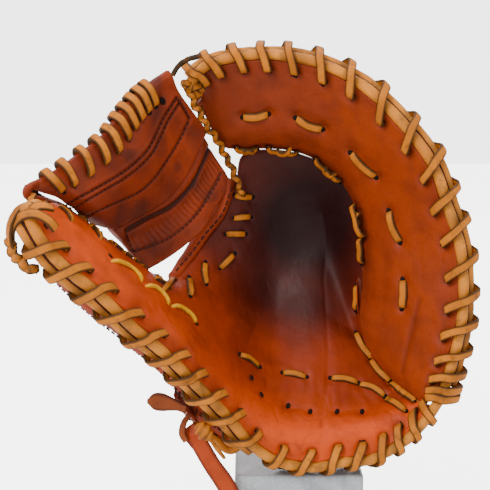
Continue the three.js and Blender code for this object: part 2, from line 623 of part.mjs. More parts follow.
// Front panels
const palmPadding = (s) => between(PALM, 'full', s) * PALM_PADDING;
const fingerPadding = (s) => between(CRESCENT, 'full', s) * FINGER_PADDING;
const webThickness = () => WEB_ROLL;
const palmPanel = panel(palm, spread(0, PALM.length - 1, 23), PALM_SECTION, palmPadding);
const fingerPanel = panel(crescent, spread(0, CRESCENT.length - 1, 20), FINGER_SECTION, fingerPadding);
add('palm', cut(palmPanel, [...thumbSlots, ...heelSlots]), leather(ORANGE, 0.5));
add('finger_pad', cut(fingerPanel, fingerSlots), leather(BURNT, 0.5));

// The thumb's back, from its seat behind the lace band over the hollow to its far edge
const RIB_STOPS = [0, 1, 2, 2.6, 3.3, 4, 5];
const stopsOf = (knots) => RIB_STOPS.map((at) => (at <= 1 ? knots[at] : along(knots, at)));
function thumbRib(position) {
  const s = between(THUMB_BACK, 's', position);
  const reach = between(THUMB_BACK, 'reach', position);
  const far = between(THUMB_BACK, 'far', position) * BACK_RISE;
  const top = between(THUMB_BACK, 'top', position) * BACK_RISE;
  const band = LACE_BAND / palm.rim(s).reach;
  return stopsOf([
    palm.near(s, -0.01, BACK_SEAT),
    palm.near(s, -LACE_BAND, BACK_SEAT),
    palm.near(s, -LACE_BAND * 1.3, between(THUMB_BACK, 'bulge', position) * BACK_RISE),
    palm.behind(s, THREE.MathUtils.lerp(band, reach, 0.4), top),
    palm.behind(s, THREE.MathUtils.lerp(band, reach, 0.75), (top + far) / 2),
    palm.behind(s, reach, far),
  ]);
}
const thumbRibs = spread(0, THUMB_BACK.length - 1, 16).map(thumbRib);
const thumbOuter = outer(thumbRibs, BACK_WALL);
add('thumb_back', cut(wall(thumbRibs, thumbOuter), thumbSlots), leather(ORANGE, 0.5));

// The fingers' back, the same way from the crescent's rim
const LAST_OPEN = FINGER_BACK.findIndex((row) => row.row === 0) - 1;
function fingerRib(position) {
  const s = between(FINGER_BACK, 's', position);
  const middle = between(FINGER_BACK, 'middle', position) * BACK_RISE;
  const far = between(FINGER_BACK, 'far', position) * BACK_RISE;
  const open = Math.min(position, LAST_OPEN);
  const over = palm.behind(between(FINGER_BACK, 'row', open), between(FINGER_BACK, 'reach', open), far);
  const closed = crescent.behind(s, 0.04, far);
  const end = over.lerp(closed, THREE.MathUtils.clamp(position - LAST_OPEN, 0, 1));
  return stopsOf([
    crescent.near(s, -0.01, BACK_SEAT),
    crescent.near(s, -LACE_BAND, BACK_SEAT),
    crescent.behind(s, 0.6, middle * 0.8),
    crescent.behind(s, 0.35, middle),
    crescent.behind(s, 0.1, middle).lerp(end, 0.35),
    end,
  ]);
}
const fingerRibs = spread(0, FINGER_BACK.length - 1, 21).map(fingerRib);
const fingerOuter = outer(fingerRibs, BACK_WALL);
add('finger_back', cut(wall(fingerRibs, fingerOuter), fingerSlots), leather(BURNT, 0.5));

// Bindings along the rims
const edgeRoll = (sheet, from, to, depth, steps) => roll(
  spread(from, to, steps).map((s) => sheet.near(s, BINDING_OUT, depth)),
  BINDING_RADIUS,
  steps,
);
add('palm_binding', edgeRoll(palm, 0, 15, FRONT_DEPTH, 34), leather(TAN, 0.6));
add('finger_binding', edgeRoll(crescent, 0, 14, FRONT_DEPTH, 31), leather(TAN, 0.6));
add('thumb_back_binding', edgeRoll(palm, 0, 8.2, BACK_DEPTH, 20), leather(TAN, 0.6));
add('finger_back_binding', edgeRoll(crescent, 1, 14, BACK_DEPTH, 30), leather(TAN, 0.6));

// Laces round the rim
const reversed = (list) => [...list].reverse();
add('rim_lace_thumb', winding(palm, reversed(THUMB_HOLES), RIM_TURN), leather(TAN, 0.7));
add('rim_lace_heel', winding(palm, reversed(HEEL_HOLES), HEEL_TURN), leather(TAN, 0.7));
add('rim_lace_finger', winding(crescent, FINGER_HOLES, RIM_TURN), leather(TAN, 0.7));

// The web
const barPanel = panel(webBar, spread(0, WEB_BAR.length - 1, 12), BAR_SECTION, webThickness);
add('web_top_bar', cut(barPanel, barSlots), leather(WEB_BROWN, 0.55));
add('web_bar_lace', winding(webBar, BAR_HOLES, BAR_TURN), leather(TAN, 0.7));
const innerPanel = panel(webPanel, spread(0, WEB_PANEL.length - 1, 11), INNER_SECTION, webThickness);
add('web_inner_panel', innerPanel, leather(WEB_BROWN, 0.55));

// The palm's own rolled edge beside the web, and the laces that tie the web in
const PALM_ROLL_RADIUS = WEB_ROLL / 2;
const palmRoll = spread(4.4, 8, 10).map(
  (s) => palm.beside(s, 1, PALM_ROLL_RADIUS + CLEARANCE, PALM_ROLL_RADIUS / 2),
);
add('palm_web_roll', roll(palmRoll, PALM_ROLL_RADIUS, 12), leather(ORANGE, 0.5));
const listed = (list) => list.map((stop) => ({ ...stop, point: place(stop.at) }));
add('web_lace_finger', knotted(listed(FINGER_EDGE_LACE), LACE_WIDTH), leather(TAN, 0.7));
add('finger_tip_lace', knotted(listed(FINGER_TIP_LACE), LACE_WIDTH), leather(TAN, 0.7));
add('thumb_tip_lace', knotted(listed(THUMB_TIP_LACE), LACE_WIDTH), leather(TAN, 0.7));
const thumbEdge = spread(0.3, 3.9, 12).map((s, i) => ({
  point: palm.beside(s, 1, LACE_WIDTH / 2, LACE_THICKNESS),
  thick: i % 3 === 1 ? 0.85 : 0.55,
}));
add('web_lace_thumb', knotted(thumbEdge, LACE_WIDTH), leather(TAN, 0.7));

// The heel's lining, a crumpled skirt that hangs behind the heel's roll down to the block
const LINING_DEPTH = FRONT_DEPTH + AROUND + LACE_REACH + CLEARANCE;
const LINING_WAVE = 2.5;
const LINING_SETBACK = 14;
const lining = spread(8.95, 12.6, 12).map((s, i) => {
  const hem = palm.near(s, 0, LINING_DEPTH);
  hem.y = palm.near(s, 0, 0).y + LINING_SETBACK + (i % 2) * LINING_WAVE;
  hem.z = STAND_HEIGHT + CLEARANCE + ((i + 1) % 2) * LINING_WAVE;
  return [hem, palm.near(s, -2, LINING_DEPTH), palm.near(s, -LACE_BAND, LINING_DEPTH)];
});
add('heel_lining', wall(lining, outer(lining, LINING_WALL)), leather(DARK, 0.8));

// Bindings along the free edges at the wrist
const WRIST_ROLL_RADIUS = 2.6;
const WRIST_ROLL_SEAT = WRIST_ROLL_RADIUS + BACK_WALL * 0.75;
const HEM_START = 3;
function hem(inside, outside, toRow, endRow) {
  const middle = (i, j) => inside[i][j].clone().add(outside[i][j]).multiplyScalar(0.5);
  const last = inside[0].length - 1;
  const step = endRow === 0 ? 1 : -1;
  const beyond = (point, behindIt, edge) => {
    const away = point.clone().sub(behindIt);
    away.addScaledVector(edge, -away.dot(edge)).normalize();
    return point.addScaledVector(away, WRIST_ROLL_SEAT);
  };
  const points = [];
  for (let j = HEM_START; j < last; j += 1) {
    const edge = middle(endRow, j + 1).sub(middle(endRow, j - 1)).normalize();
    points.push(beyond(middle(endRow, j), middle(endRow + step, j), edge));
  }
  points.push(middle(endRow, last).lerp(middle(endRow + step, last - 1), -0.5));
  for (let i = endRow + step; i !== toRow; i += step) {
    const edge = middle(i + 1, last).sub(middle(i - 1, last)).normalize();
    points.push(beyond(middle(i, last), middle(i, last - 1), edge));
  }
  return points;
}
const thumbHem = hem(thumbRibs, thumbOuter, 7, thumbRibs.length - 1);
const fingerHem = hem(fingerRibs, fingerOuter, 9, 0);
add('thumb_wrist_binding', roll(thumbHem, WRIST_ROLL_RADIUS, 17), leather(TAN, 0.6));
add('finger_wrist_binding', roll(fingerHem, WRIST_ROLL_RADIUS, 20), leather(TAN, 0.6));

// The wrist strap lies over the thumb's back, crosses the hand opening and lies over the fingers' back
const STRAP_LIFT = STRAP_THICKNESS / 2 + 2;
const STRAP_OVER_HEM = WRIST_ROLL_RADIUS + STRAP_THICKNESS * 2.5;
const STRAP_BEYOND_HEM = WRIST_ROLL_SEAT * 2.5;
const STRAP_THUMB_ROW = 12;
const STRAP_FINGER_ROW = 4;
function onto(inside, outside, i, j) {
  const last = outside[i].length - 1;
  const column = Math.min(j, last);
  const look = outside[i][column].clone().sub(inside[i][column]).normalize();
  const point = outside[i][column].clone();
  if (j > last) {
    const ahead = outside[i][last].clone().sub(outside[i][last - 1]).normalize();
    point.addScaledVector(ahead, STRAP_BEYOND_HEM);
  }
  return { point: point.addScaledVector(look, j < last - 1 ? STRAP_LIFT : STRAP_OVER_HEM), look };
}
const overThumb = [3, 4, 5, 6, 7].map((j) => onto(thumbRibs, thumbOuter, STRAP_THUMB_ROW, j));
const overFinger = [7, 6, 5, 4, 3].map((j) => onto(fingerRibs, fingerOuter, STRAP_FINGER_ROW, j));
const strapStops = [...overThumb, ...overFinger];
add('wrist_strap', ribbon(strapStops, STRAP_WIDTH, STRAP_THICKNESS), leather(STRAP_RED, 0.55));

const facing = new THREE.Vector3(0, -1, 0);
const flat = (list) => listed(list).map((stop) => ({ ...stop, look: facing }));
add('strap_tail', ribbon(flat(STRAP_TAIL), STRAP_WIDTH, STRAP_THICKNESS), leather(STRAP_RED, 0.55));
add('strap_tongue', ribbon(flat(STRAP_TONGUE), STRAP_WIDTH, STRAP_THICKNESS), leather(DARK, 0.7));
add('strap_loop', ribbon(flat(STRAP_LOOP), STRAP_WIDTH, STRAP_THICKNESS), leather(DARK, 0.7));
add('strap_knot', knotted(listed(STRAP_KNOT), LACE_WIDTH), leather(TAN, 0.7));

// The block
const stand = new THREE.BoxGeometry(STAND_WIDTH, STAND_DEPTH, STAND_HEIGHT);
stand.translate(0, 0, STAND_HEIGHT / 2);
add('stand', stand, leather('#b9babd', 0.6));

export default group;
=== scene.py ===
import math
import bpy
import numpy as np
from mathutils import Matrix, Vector
from mathutils.bvhtree import BVHTree


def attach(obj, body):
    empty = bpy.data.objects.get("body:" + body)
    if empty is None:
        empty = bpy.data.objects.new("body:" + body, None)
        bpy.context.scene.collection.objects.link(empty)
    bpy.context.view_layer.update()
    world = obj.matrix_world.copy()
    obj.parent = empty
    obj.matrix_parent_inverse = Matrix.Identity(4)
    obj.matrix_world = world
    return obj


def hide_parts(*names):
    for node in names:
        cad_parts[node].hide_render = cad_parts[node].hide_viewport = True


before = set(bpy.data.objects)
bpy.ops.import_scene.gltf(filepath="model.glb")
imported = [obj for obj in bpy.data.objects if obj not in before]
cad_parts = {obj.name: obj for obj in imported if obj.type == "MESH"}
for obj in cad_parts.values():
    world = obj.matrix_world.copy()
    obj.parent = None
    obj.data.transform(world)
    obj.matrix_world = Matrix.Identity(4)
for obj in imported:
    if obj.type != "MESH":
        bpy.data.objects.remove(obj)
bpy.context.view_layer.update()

# Sizes in millimetres, the same as in the solids apart from BAR_INSET, which is 17 there
MM = 0.001
MITT_WIDTH, MITT_HEIGHT, BOWL_DEPTH = 280.0, 290.0, 160.0
STAND_WIDTH, STAND_DEPTH, STAND_HEIGHT = 88.0, 96.0, 58.0
PALM_PADDING, FINGER_PADDING, BACK_WALL, BACK_RISE = 12.0, 12.0, 3.0, 34.0
WEB_ROLL, LINING_WALL, CLEARANCE = 10.0, 2.0, 0.3
BACK_SEAT = max(PALM_PADDING, FINGER_PADDING) * 0.69 + CLEARANCE
BINDING_RADIUS = 3.5
BINDING_OUT = BINDING_RADIUS + CLEARANCE
FRONT_DEPTH = BINDING_RADIUS * 0.7
BACK_DEPTH = FRONT_DEPTH + BINDING_RADIUS * 2 + CLEARANCE
LACE_WIDTH, LACE_THICKNESS, LACE_GAP = 6.0, 2.2, 0.9
LACE_REACH = LACE_THICKNESS / 2 + LACE_GAP
LACE_INSET, LACE_BAND, BAR_INSET = 7.0, 12.0, 14.0
STRAP_WIDTH, STRAP_THICKNESS = 16.0, 2.4
OVER_FRONT = FRONT_DEPTH - BINDING_RADIUS - LACE_REACH
OVER_BACK = BACK_DEPTH + BINDING_RADIUS + LACE_REACH
BEHIND_BACK = BACK_SEAT + BACK_WALL + LACE_REACH
AROUND = BINDING_RADIUS + LACE_REACH
SLANT = AROUND * math.sqrt(0.5)
OVER_ROLL = WEB_ROLL + LACE_REACH


def table(names, rows):
    """Rows with named columns."""
    return [dict(zip(names.split(), row)) for row in rows]


# Share tables: percent of the mitt's width, depth and height
PALM = table("full rim crest crease pocket edge", [
    (0.45, [-57, -69, 65], [-56.5, -62.5, 66], [-56, -56, 66], [-55.5, -50, 66], [-55, -44, 65.5]),
    (0.5, [-53.5, -70, 59.5], [-52, -62, 60.5], [-51, -52.5, 61], [-50.5, -43, 61.5], [-50.5, -34, 61.5]),
    (0.6, [-49, -69, 54.5], [-46.5, -59.5, 55.5], [-45, -48, 56], [-44.5, -36, 56], [-45, -25, 55.5]),
    (0.75, [-43, -65, 49], [-40.5, -55.5, 49.5], [-39, -44, 50.5], [-38, -30, 50], [-39, -16, 49.5]),
    (0.85, [-36.5, -60, 41.5], [-34, -52, 42.5], [-31.5, -39.5, 43.5], [-30.5, -22.5, 44], [-32, -6, 44]),
    (0.95, [-29.5, -54.5, 34.5], [-26.5, -45.5, 36], [-24.5, -30.5, 37], [-23.5, -7.5, 40.5], [-27, 6, 47]),
    (1, [-23, -48, 26.5], [-20, -38, 27.5], [-17.5, -21, 30], [-15, 7.5, 37], [-22.5, 14, 52.5]),
    (1, [-16.5, -42, 18.5], [-14.5, -34, 20.5], [-12, -14, 24], [-10, 17.5, 36], [-18, 17.5, 58]),
    (1, [-10.5, -37.5, 10.5], [-9.5, -30.5, 15], [-7, -11, 20], [-6, 25, 39], [-15, 19, 66.5]),
    (1, [-4.5, -35, 6], [-4, -30, 11.5], [-2, -10, 18.5], [-2.5, 28.5, 44], [-13, 19, 73]),
    (1, [3, -34, 4.5], [3, -28.5, 10.5], [4.5, -10, 18.5], [1.5, 30.5, 47.5], [-3, 20.5, 73.5]),
    (1, [10, -33, 5.5], [10, -28, 11], [10, -10, 18], [6.5, 29.5, 47.5], [7, 20, 70]),
    (1, [16.5, -32.5, 6], [16, -27, 12], [15, -10, 17], [11, 25, 41.5], [14, 17.5, 62.5]),
    (0.95, [22, -31, 8.5], [21, -25, 13], [19.5, -11, 16.5], [15.5, 12.5, 30], [17, 13, 48]),
    (0.8, [26.5, -30.5, 12], [26, -24, 15], [24, -14, 16.5], [20.5, 1, 21.5], [18, 9, 31]),
    (0.6, [31, -30, 17.5], [29.5, -25.5, 17], [27.5, -19.5, 17], [25.5, -12, 17.5], [23, -4, 19]),
])
CRESCENT = table("full inner low high rim", [
    (0.6, [29.5, -24, 17], [30.5, -26, 17.5], [31, -28.5, 18.5], [32, -30.5, 19]),
    (0.8, [25, -12.5, 18.5], [27.5, -19.5, 20], [30.5, -26, 22], [33, -30.5, 23]),
    (0.95, [19.5, -4.5, 24], [24.5, -14, 25.5], [30, -23, 27], [34.5, -30.5, 28.5]),
    (1, [16, 2, 32], [23, -9.5, 33], [30, -20.5, 34.5], [36, -30.5, 36]),
    (1, [16.5, 5, 41], [23, -9, 42], [30, -20, 43], [36.5, -29.5, 44]),
    (1, [16, 8, 53], [22.5, -6, 53.5], [29.5, -18, 53.5], [35.5, -28, 54]),
    (1, [14, 10, 61.5], [20, -4, 61.5], [26.5, -15.5, 62], [32.5, -26, 63]),
    (1, [10, 12, 67.5], [16, -0.5, 68.5], [22.5, -12.5, 70], [29, -25, 72]),
    (1, [4, 13, 72], [9.5, 2, 73.5], [16.5, -10, 76.5], [22.5, -21.5, 80.5]),
    (1, [-2.5, 13, 74], [2.5, 3, 77.5], [9, -7.5, 83], [14, -17, 88.5]),
    (1, [-9, 12.5, 74.5], [-5, 3, 79.5], [0, -5, 86.5], [4.5, -13.5, 93.5]),
    (0.95, [-14.5, 12, 74.5], [-11.5, 4, 80.5], [-8.5, -3, 88], [-5, -10, 95.5]),
    (0.85, [-19, 10.5, 75.5], [-17.5, 4.5, 81.5], [-15.5, -1, 88.5], [-13.5, -6, 95.5]),
    (0.75, [-22, 7.5, 80.5], [-21.5, 4, 84.5], [-21.5, 0, 89], [-21.5, -4, 93.5]),
    (0.65, [-23.5, 3, 85.5], [-24, 2, 87], [-24.5, -0.5, 88.5], [-25, -2.5, 90]),
])
WEB_BAR = table("top seam low", [
    ([-59.5, -53, 69], [-54.5, -42, 66], [-50, -27, 60]),
    ([-55, -46, 72], [-49, -39, 66.5], [-45, -24, 59]),
    ([-49.5, -35, 76], [-44, -30, 69], [-40, -17.5, 61]),
    ([-45, -26, 79.5], [-40, -21, 73], [-36, -10, 63]),
    ([-41.5, -19.5, 84.5], [-36.5, -14.5, 78], [-31.5, -3, 66.5]),
    ([-38, -14, 88.5], [-34, -9.5, 82.5], [-28, 2, 71.5]),
    ([-34.5, -9, 91], [-32, -5.5, 87], [-25.5, 5, 76.5]),
    ([-31, -4, 93.5], [-29, -2, 88.5], [-23.5, 6, 80.5]),
])
WEB_PANEL = table("top groove seam low", [
    ([-44.5, -20, 58], [-42.5, -17.5, 55], [-40.5, -15, 52], [-38, -12.5, 48.5]),
    ([-40, -12.5, 60], [-37.5, -10, 57], [-35, -7, 53], [-33, -5, 50.5]),
    ([-35.5, -5, 62], [-33, -2.5, 59], [-30, 0, 55.5], [-28, 2, 53.5]),
    ([-31.5, 0, 65], [-29, 2.5, 62], [-26, 5, 59], [-24, 6, 57]),
    ([-28, 4.5, 69], [-26, 7, 66], [-23, 9.5, 62.5], [-21.5, 10.5, 61]),
    ([-26, 7.5, 73], [-23.5, 10, 70], [-21, 12.5, 66.5], [-19, 14, 64.5]),
    ([-24, 9.5, 78.5], [-22, 12, 75.5], [-19, 14.5, 70.5], [-17.5, 15.5, 68]),
])
PALM_SECTION = table("t front back", [
    (0, 0.04, 0.38),
    (0.12, 0, 0.46),
    (0.25, 0, 0.9),
    (0.38, 0, 0.9),
    (0.52, 0, 0.64),
    (0.68, 0, 0.53),
    (0.85, 0, 0.46),
    (1, 0.04, 0.4),
])
FINGER_SECTION = table("t front back", [
    (0, 0.08, 0.52),
    (0.15, 0, 0.66),
    (0.4, 0, 0.92),
    (0.66, 0, 0.68),
    (0.86, 0, 0.44),
    (1, 0.04, 0.38),
])
BAR_SECTION = table("t front back", [
    (0, 0.25, 0.7),
    (0.05, 0.02, 0.96),
    (0.2, 0, 0.98),
    (0.4, 0.06, 0.7),
    (0.7, 0, 0.5),
    (1, 0.04, 0.46),
])
INNER_SECTION = table("t front back", [
    (0, 0.3, 0.8),
    (0.12, 0, 1),
    (0.3, 0.1, 0.9),
    (0.4, 0.3, 0.7),
    (0.7, 0.15, 0.6),
    (1, 0.2, 0.6),
])
THUMB_BACK = table("s reach bulge top far", [
    (0.15, 0.95, 0.45, 0.56, 0.27),
    (1, 0.95, 0.62, 0.75, 0.25),
    (2, 0.95, 0.76, 0.9, 0.25),
    (3, 0.95, 0.8, 1, 0.25),
    (4, 0.92, 0.8, 1.05, 0.3),
    (5, 0.8, 0.8, 1.1, 0.9),
    (6, 0.6, 0.8, 1.1, 1),
    (7, 0.34, 0.82, 1.1, 1.1),
    (7.7, 0.16, 0.8, 1.05, 1.2),
    (8.25, 0.02, 0.68, 0.95, 1.2),
])
FINGER_BACK = table("s row reach middle far", [
    (1, 14, 0.5, 0.55, 0.8),
    (2, 13, 0.65, 0.8, 1),
    (3, 12, 0.7, 0.95, 1.1),
    (4, 11.3, 0.72, 1, 1.15),
    (5, 11, 0.75, 1, 1.1),
    (6, 11.3, 0.85, 0.95, 0.8),
    (7, 11.6, 0.97, 0.9, 0.5),
    (8, 0, 0.04, 0.85, 0.25),
    (9, 0, 0.04, 0.8, 0.25),
    (10, 0, 0.04, 0.75, 0.25),
    (11, 0, 0.04, 0.65, 0.25),
    (12, 0, 0.04, 0.6, 0.25),
    (13, 0, 0.04, 0.52, 0.25),
    (13.8, 0, 0.04, 0.46, 0.25),
])
THUMB_HOLES = [0.55, 1.4, 2.3, 3.1, 3.9, 4.6, 5.3, 5.9, 6.6, 7.3, 8.05]
HEEL_HOLES = [9.1, 10, 10.9, 11.8, 12.7, 13.5, 14.4]
FINGER_HOLES = [
  0.5, 1.1, 1.9, 2.7, 3.5, 4.3, 5.1, 5.9, 6.7, 7.5, 8.3, 9.1, 9.8, 10.5, 11.2, 11.9, 12.6, 13.3,
]
BAR_HOLES = [0.6, 1.1, 1.7, 2.35, 2.95, 3.5, 3.95, 4.4, 4.85, 5.3, 5.75]
FINGER_EDGE_LACE = table("at thick", [
    ([-27.5, -11, 91], 0.9),
    ([-26.5, -8.5, 89.5], 1.1),
    ([-26, -6.5, 87.5], 0.55),
    ([-25.2, -4.5, 85.5], 1),
    ([-24, -2, 83.5], 0.55),
    ([-22.6, 0.5, 80.5], 1),
    ([-21.5, 3, 79], 0.55),
    ([-20, 5.5, 77], 0.95),
    ([-18.6, 9, 74], 0.55),
    ([-16.8, 12.5, 70.5], 0.55),
    ([-15.4, 14, 67], 0.9),
    ([-13.8, 16, 63], 0.55),
])
FINGER_TIP_LACE = table("at thick", [
    ([-30.5, -8, 92.5], 0.6),
    ([-29, -9, 94.6], 0.6),
    ([-26.8, -11.5, 96], 0.6),
    ([-24, -13, 96.8], 0.6),
])
STRAP_TAIL = table("at wide", [
    ([-27, -30, 12], 0.75),
    ([-25.6, -32, 10.2], 0.75),
    ([-23.8, -33, 8], 0.75),
    ([-21.2, -35, 4], 0.75),
    ([-18.6, -35.5, 0.3], 0.8),
    ([-16.9, -36, -2.6], 0.8),
    ([-15.2, -36, -6], 0.75),
])
STRAP_TONGUE = table("at wide", [
    ([-36.6, -31, 18.4], 0.15),
    ([-35, -31, 18.4], 0.7),
    ([-33, -31, 18.2], 0.78),
    ([-31, -31.5, 17.9], 0.6),
    ([-29, -32, 17.4], 0.4),
    ([-27.2, -33, 16.8], 0.36),
])
STRAP_LOOP = table("at wide", [
    ([-26.5, -31.5, 15.4], 0.2),
    ([-27.8, -33, 13.6], 0.26),
    ([-28.2, -33.5, 11.2], 0.3),
    ([-27.2, -34.5, 9.4], 0.26),
])
STRAP_KNOT = table("at thick", [
    ([-24, -42, 15.3], 1),
    ([-23.2, -43, 14.3], 1.6),
    ([-22.3, -43, 12.8], 1.5),
    ([-21.4, -42, 11.5], 0.5),
    ([-19.6, -41.5, 9], 0.5),
    ([-18, -41, 6.8], 0.4),
])

# Lace turns: share along, out beyond the rim, back behind the face, and the way the face looks
RIM_TURN = [
    (0, -LACE_INSET, -LACE_REACH * 0.2, -0.6, -0.8),
    (0.1, -LACE_INSET / 2, OVER_FRONT, 0, -1),
    (0.28, BINDING_OUT, OVER_FRONT, 0.2, -1),
    (0.42, BINDING_OUT + AROUND, FRONT_DEPTH - BINDING_RADIUS, 0.9, -0.5),
    (0.58, BINDING_OUT + AROUND, BACK_DEPTH + BINDING_RADIUS, 0.9, 0.5),
    (0.72, BINDING_OUT, OVER_BACK, 0.2, 1),
    (0.9, -LACE_INSET / 2, OVER_BACK, 0, 1),
    (1, -LACE_INSET, BEHIND_BACK, -0.6, 0.8),
]
HEEL_TURN = [
    (0, -LACE_INSET, -LACE_REACH * 0.2, -0.6, -0.8),
    (0.12, -LACE_INSET / 2, OVER_FRONT, 0, -1),
    (0.32, BINDING_OUT, OVER_FRONT, 0.2, -1),
    (0.4, BINDING_OUT + SLANT, FRONT_DEPTH - SLANT, 0.8, -0.8),
    (0.5, BINDING_OUT + AROUND, FRONT_DEPTH, 1, 0),
    (0.6, BINDING_OUT + SLANT, FRONT_DEPTH + SLANT, 0.8, 0.8),
    (0.68, BINDING_OUT, FRONT_DEPTH + AROUND, 0.2, 1),
    (1, -LACE_INSET, FRONT_DEPTH + AROUND, -0.6, 0.8),
]
BAR_TURN = [
    (0, -BAR_INSET, -LACE_REACH * 0.2, -0.6, -0.8),
    (0.2, -BAR_INSET / 2, -LACE_REACH - LACE_GAP, 0, -1),
    (0.38, 0, -LACE_REACH, 0.5, -0.9),
    (0.5, LACE_REACH * 2, WEB_ROLL / 2, 1, 0),
    (0.62, 0, OVER_ROLL, 0.5, 0.9),
    (0.8, -BAR_INSET / 2, OVER_ROLL + LACE_GAP, 0, 1),
    (1, -BAR_INSET, OVER_ROLL - LACE_GAP, -0.6, 0.8),
]

# Curves, sheets and noise


def place(share):
    x, y, z = share
    return np.array([x * MITT_WIDTH / 100, y * BOWL_DEPTH / 100, STAND_HEIGHT + z * MITT_HEIGHT / 100])


def unit(v):
    return v / np.maximum(np.linalg.norm(v, axis=-1, keepdims=True), 1e-9)


def dot(a, b):
    return (a * b).sum(-1, keepdims=True)


def weights(f):
    """Each of four neighbours' share in a smooth curve."""
    shares = [-f + 2 * f**2 - f**3, 2 - 5 * f**2 + 3 * f**3, f + 4 * f**2 - 3 * f**3, f**3 - f**2]
    return np.stack(shares, -1) * 0.5


def ghosts(net, axis):
    net = np.moveaxis(net, axis, 0)
    first, last = 2 * net[:1] - net[1:2], 2 * net[-1:] - net[-2:-1]
    return np.moveaxis(np.concatenate([first, net, last]), 0, axis)


class Net:
    """A smooth surface through a net of points, read at row and column positions."""

    def __init__(self, net):
        self.size = net.shape[:2]
        self.net = ghosts(ghosts(net, 0), 1)

    def at(self, rows, columns):
        r, c = np.broadcast_arrays(np.asarray(rows, float), np.asarray(columns, float))
        i = np.clip(np.floor(r), 0, self.size[0] - 2).astype(int)
        j = np.clip(np.floor(c), 0, self.size[1] - 2).astype(int)
        wr, wc = weights(r - i), weights(c - j)
        total = 0
        for a in range(4):
            for b in range(4):
                total = total + (wr[..., a] * wc[..., b])[..., None] * self.net[i + a, j + b]
        return total


def curve(points, count):
    """Points spread along a smooth curve through the given ones."""
    points = np.asarray(points, float)
    ext = ghosts(points, 0)
    pos = np.linspace(0, len(points) - 1, count)
    i = np.clip(np.floor(pos), 0, len(points) - 2).astype(int)
    w = weights(pos - i)
    return sum(w[:, a, None] * ext[i + a] for a in range(4))


class Sheet(Net):
    def __init__(self, rows, names, turn, rim_share):
        super().__init__(np.array([[place(row[n]) for n in names] for row in rows]))
        self.turn, self.rim_share, self.last = turn, rim_share, len(rows) - 1

    def point(self, s, t):
        return self.at(s, np.asarray(t, float) * (self.size[1] - 1))

    def back(self, s, t):
        rise = self.point(s + 0.1, t) - self.point(s - 0.1, t)
        cross = self.point(s, t + 0.02) - self.point(s, t - 0.02)
        return unit(np.cross(cross, rise)) * self.turn

    def behind(self, s, t, depth):
        depth = np.asarray(depth, float)[..., None]
        return self.point(s, t) + self.back(s, t) * depth

    def edge(self, s, share):
        reach = (self.point(s, share + 0.02) - self.point(s, share - 0.02)) / 0.04
        tangent = unit(self.point(s + 0.1, share) - self.point(s - 0.1, share))
        out = reach * (1 if share > 0.5 else -1)
        out = unit(out - tangent * dot(out, tangent))
        return np.linalg.norm(reach, axis=-1), out, self.back(s, share)

    def beside(self, s, share, out, depth):
        s = np.asarray(s, float)
        reach, away, back = self.edge(s, share)
        out, depth = np.broadcast_to(out, s.shape), np.broadcast_to(depth, s.shape)
        inward = np.minimum(out, 0) * (1 if share > 0.5 else -1) / reach
        inside = self.behind(s, share + inward, depth)
        outside = self.point(s, share) + away * out[..., None] + back * depth[..., None]
        return np.where((out < 0)[..., None], inside, outside)

    def near(self, s, out, depth):
        return self.beside(s, self.rim_share, out, depth)


LATTICE = np.random.default_rng(7).random(4096) * 2 - 1


def noise(p, scale):
    """Smooth noise from -1 to 1 over space, with bumps about as wide as scale."""
    q = p / scale
    i = np.floor(q).astype(np.int64)
    f = q - i
    f = f * f * (3 - 2 * f)
    total = 0
    for dx in (0, 1):
        for dy in (0, 1):
            for dz in (0, 1):
                key = (i[..., 0] + dx) * 73856093 ^ (i[..., 1] + dy) * 19349663 ^ (i[..., 2] + dz) * 83492791
                w = (f[..., 0] if dx else 1 - f[..., 0]) * (f[..., 1] if dy else 1 - f[..., 1])
                total = total + LATTICE[key & 4095] * w * (f[..., 2] if dz else 1 - f[..., 2])
    return total


def far_from(points, line):
    """Each point's distance from the nearest of a line's points."""
    flat = points.reshape(-1, 3)
    best = np.full(len(flat), 1e9)
    for start in range(0, len(flat), 20000):
        part = flat[start:start + 20000]
        d = ((part[:, None, :] - line[None, :, :]) ** 2).sum(-1).min(1)
        best[start:start + 20000] = np.sqrt(d)
    return best.reshape(points.shape[:-1])


def travelled(path):
    """The way along a path up to each of its points."""
    return np.concatenate([[0], np.cumsum(np.linalg.norm(np.diff(path, axis=0), axis=1))])


def at_length(path, way, length):
    return np.stack([np.interp(length, way, path[:, axis]) for axis in range(3)], -1)


def eased(path, times):
    for _ in range(times):
        path[1:-1] = (path[:-2] + path[1:-1] * 2 + path[2:]) / 4
    return path


def spread(values, count):
    """Numbers given at a curve's stops, for each of its points."""
    return curve(np.array(values)[:, None] * np.ones(3), count)[:, 0]


def dense(line, step=1.2):
    line = np.asarray(line, float)
    length = np.linalg.norm(np.diff(line, axis=0), axis=1).sum()
    return curve(line, max(int(length / step), len(line) * 2))


# Meshes


def ring_faces(n, m):
    """Four-sided faces through n rings of m points, and across the first and the last ring."""
    i, j = np.meshgrid(np.arange(n - 1), np.arange(m), indexing="ij")
    k = (j + 1) % m
    faces = np.stack([i * m + j, i * m + k, (i + 1) * m + k, (i + 1) * m + j], -1).reshape(-1, 4).tolist()
    end = (n - 1) * m
    for a in range(m // 2 - 1):
        faces.append([a, m - 1 - a, m - 2 - a, a + 1])
        faces.append([end + a, end + a + 1, end + m - 2 - a, end + m - 1 - a])
    return faces


def outward(points, faces):
    """The faces, all turned over if they look inward."""
    tri = np.array([f[:3] for f in faces] + [[f[0], f[2], f[3]] for f in faces if len(f) == 4])
    volume = (points[tri[:, 0]] * np.cross(points[tri[:, 1]], points[tri[:, 2]])).sum()
    return [f[::-1] for f in faces] if volume < 0 else faces


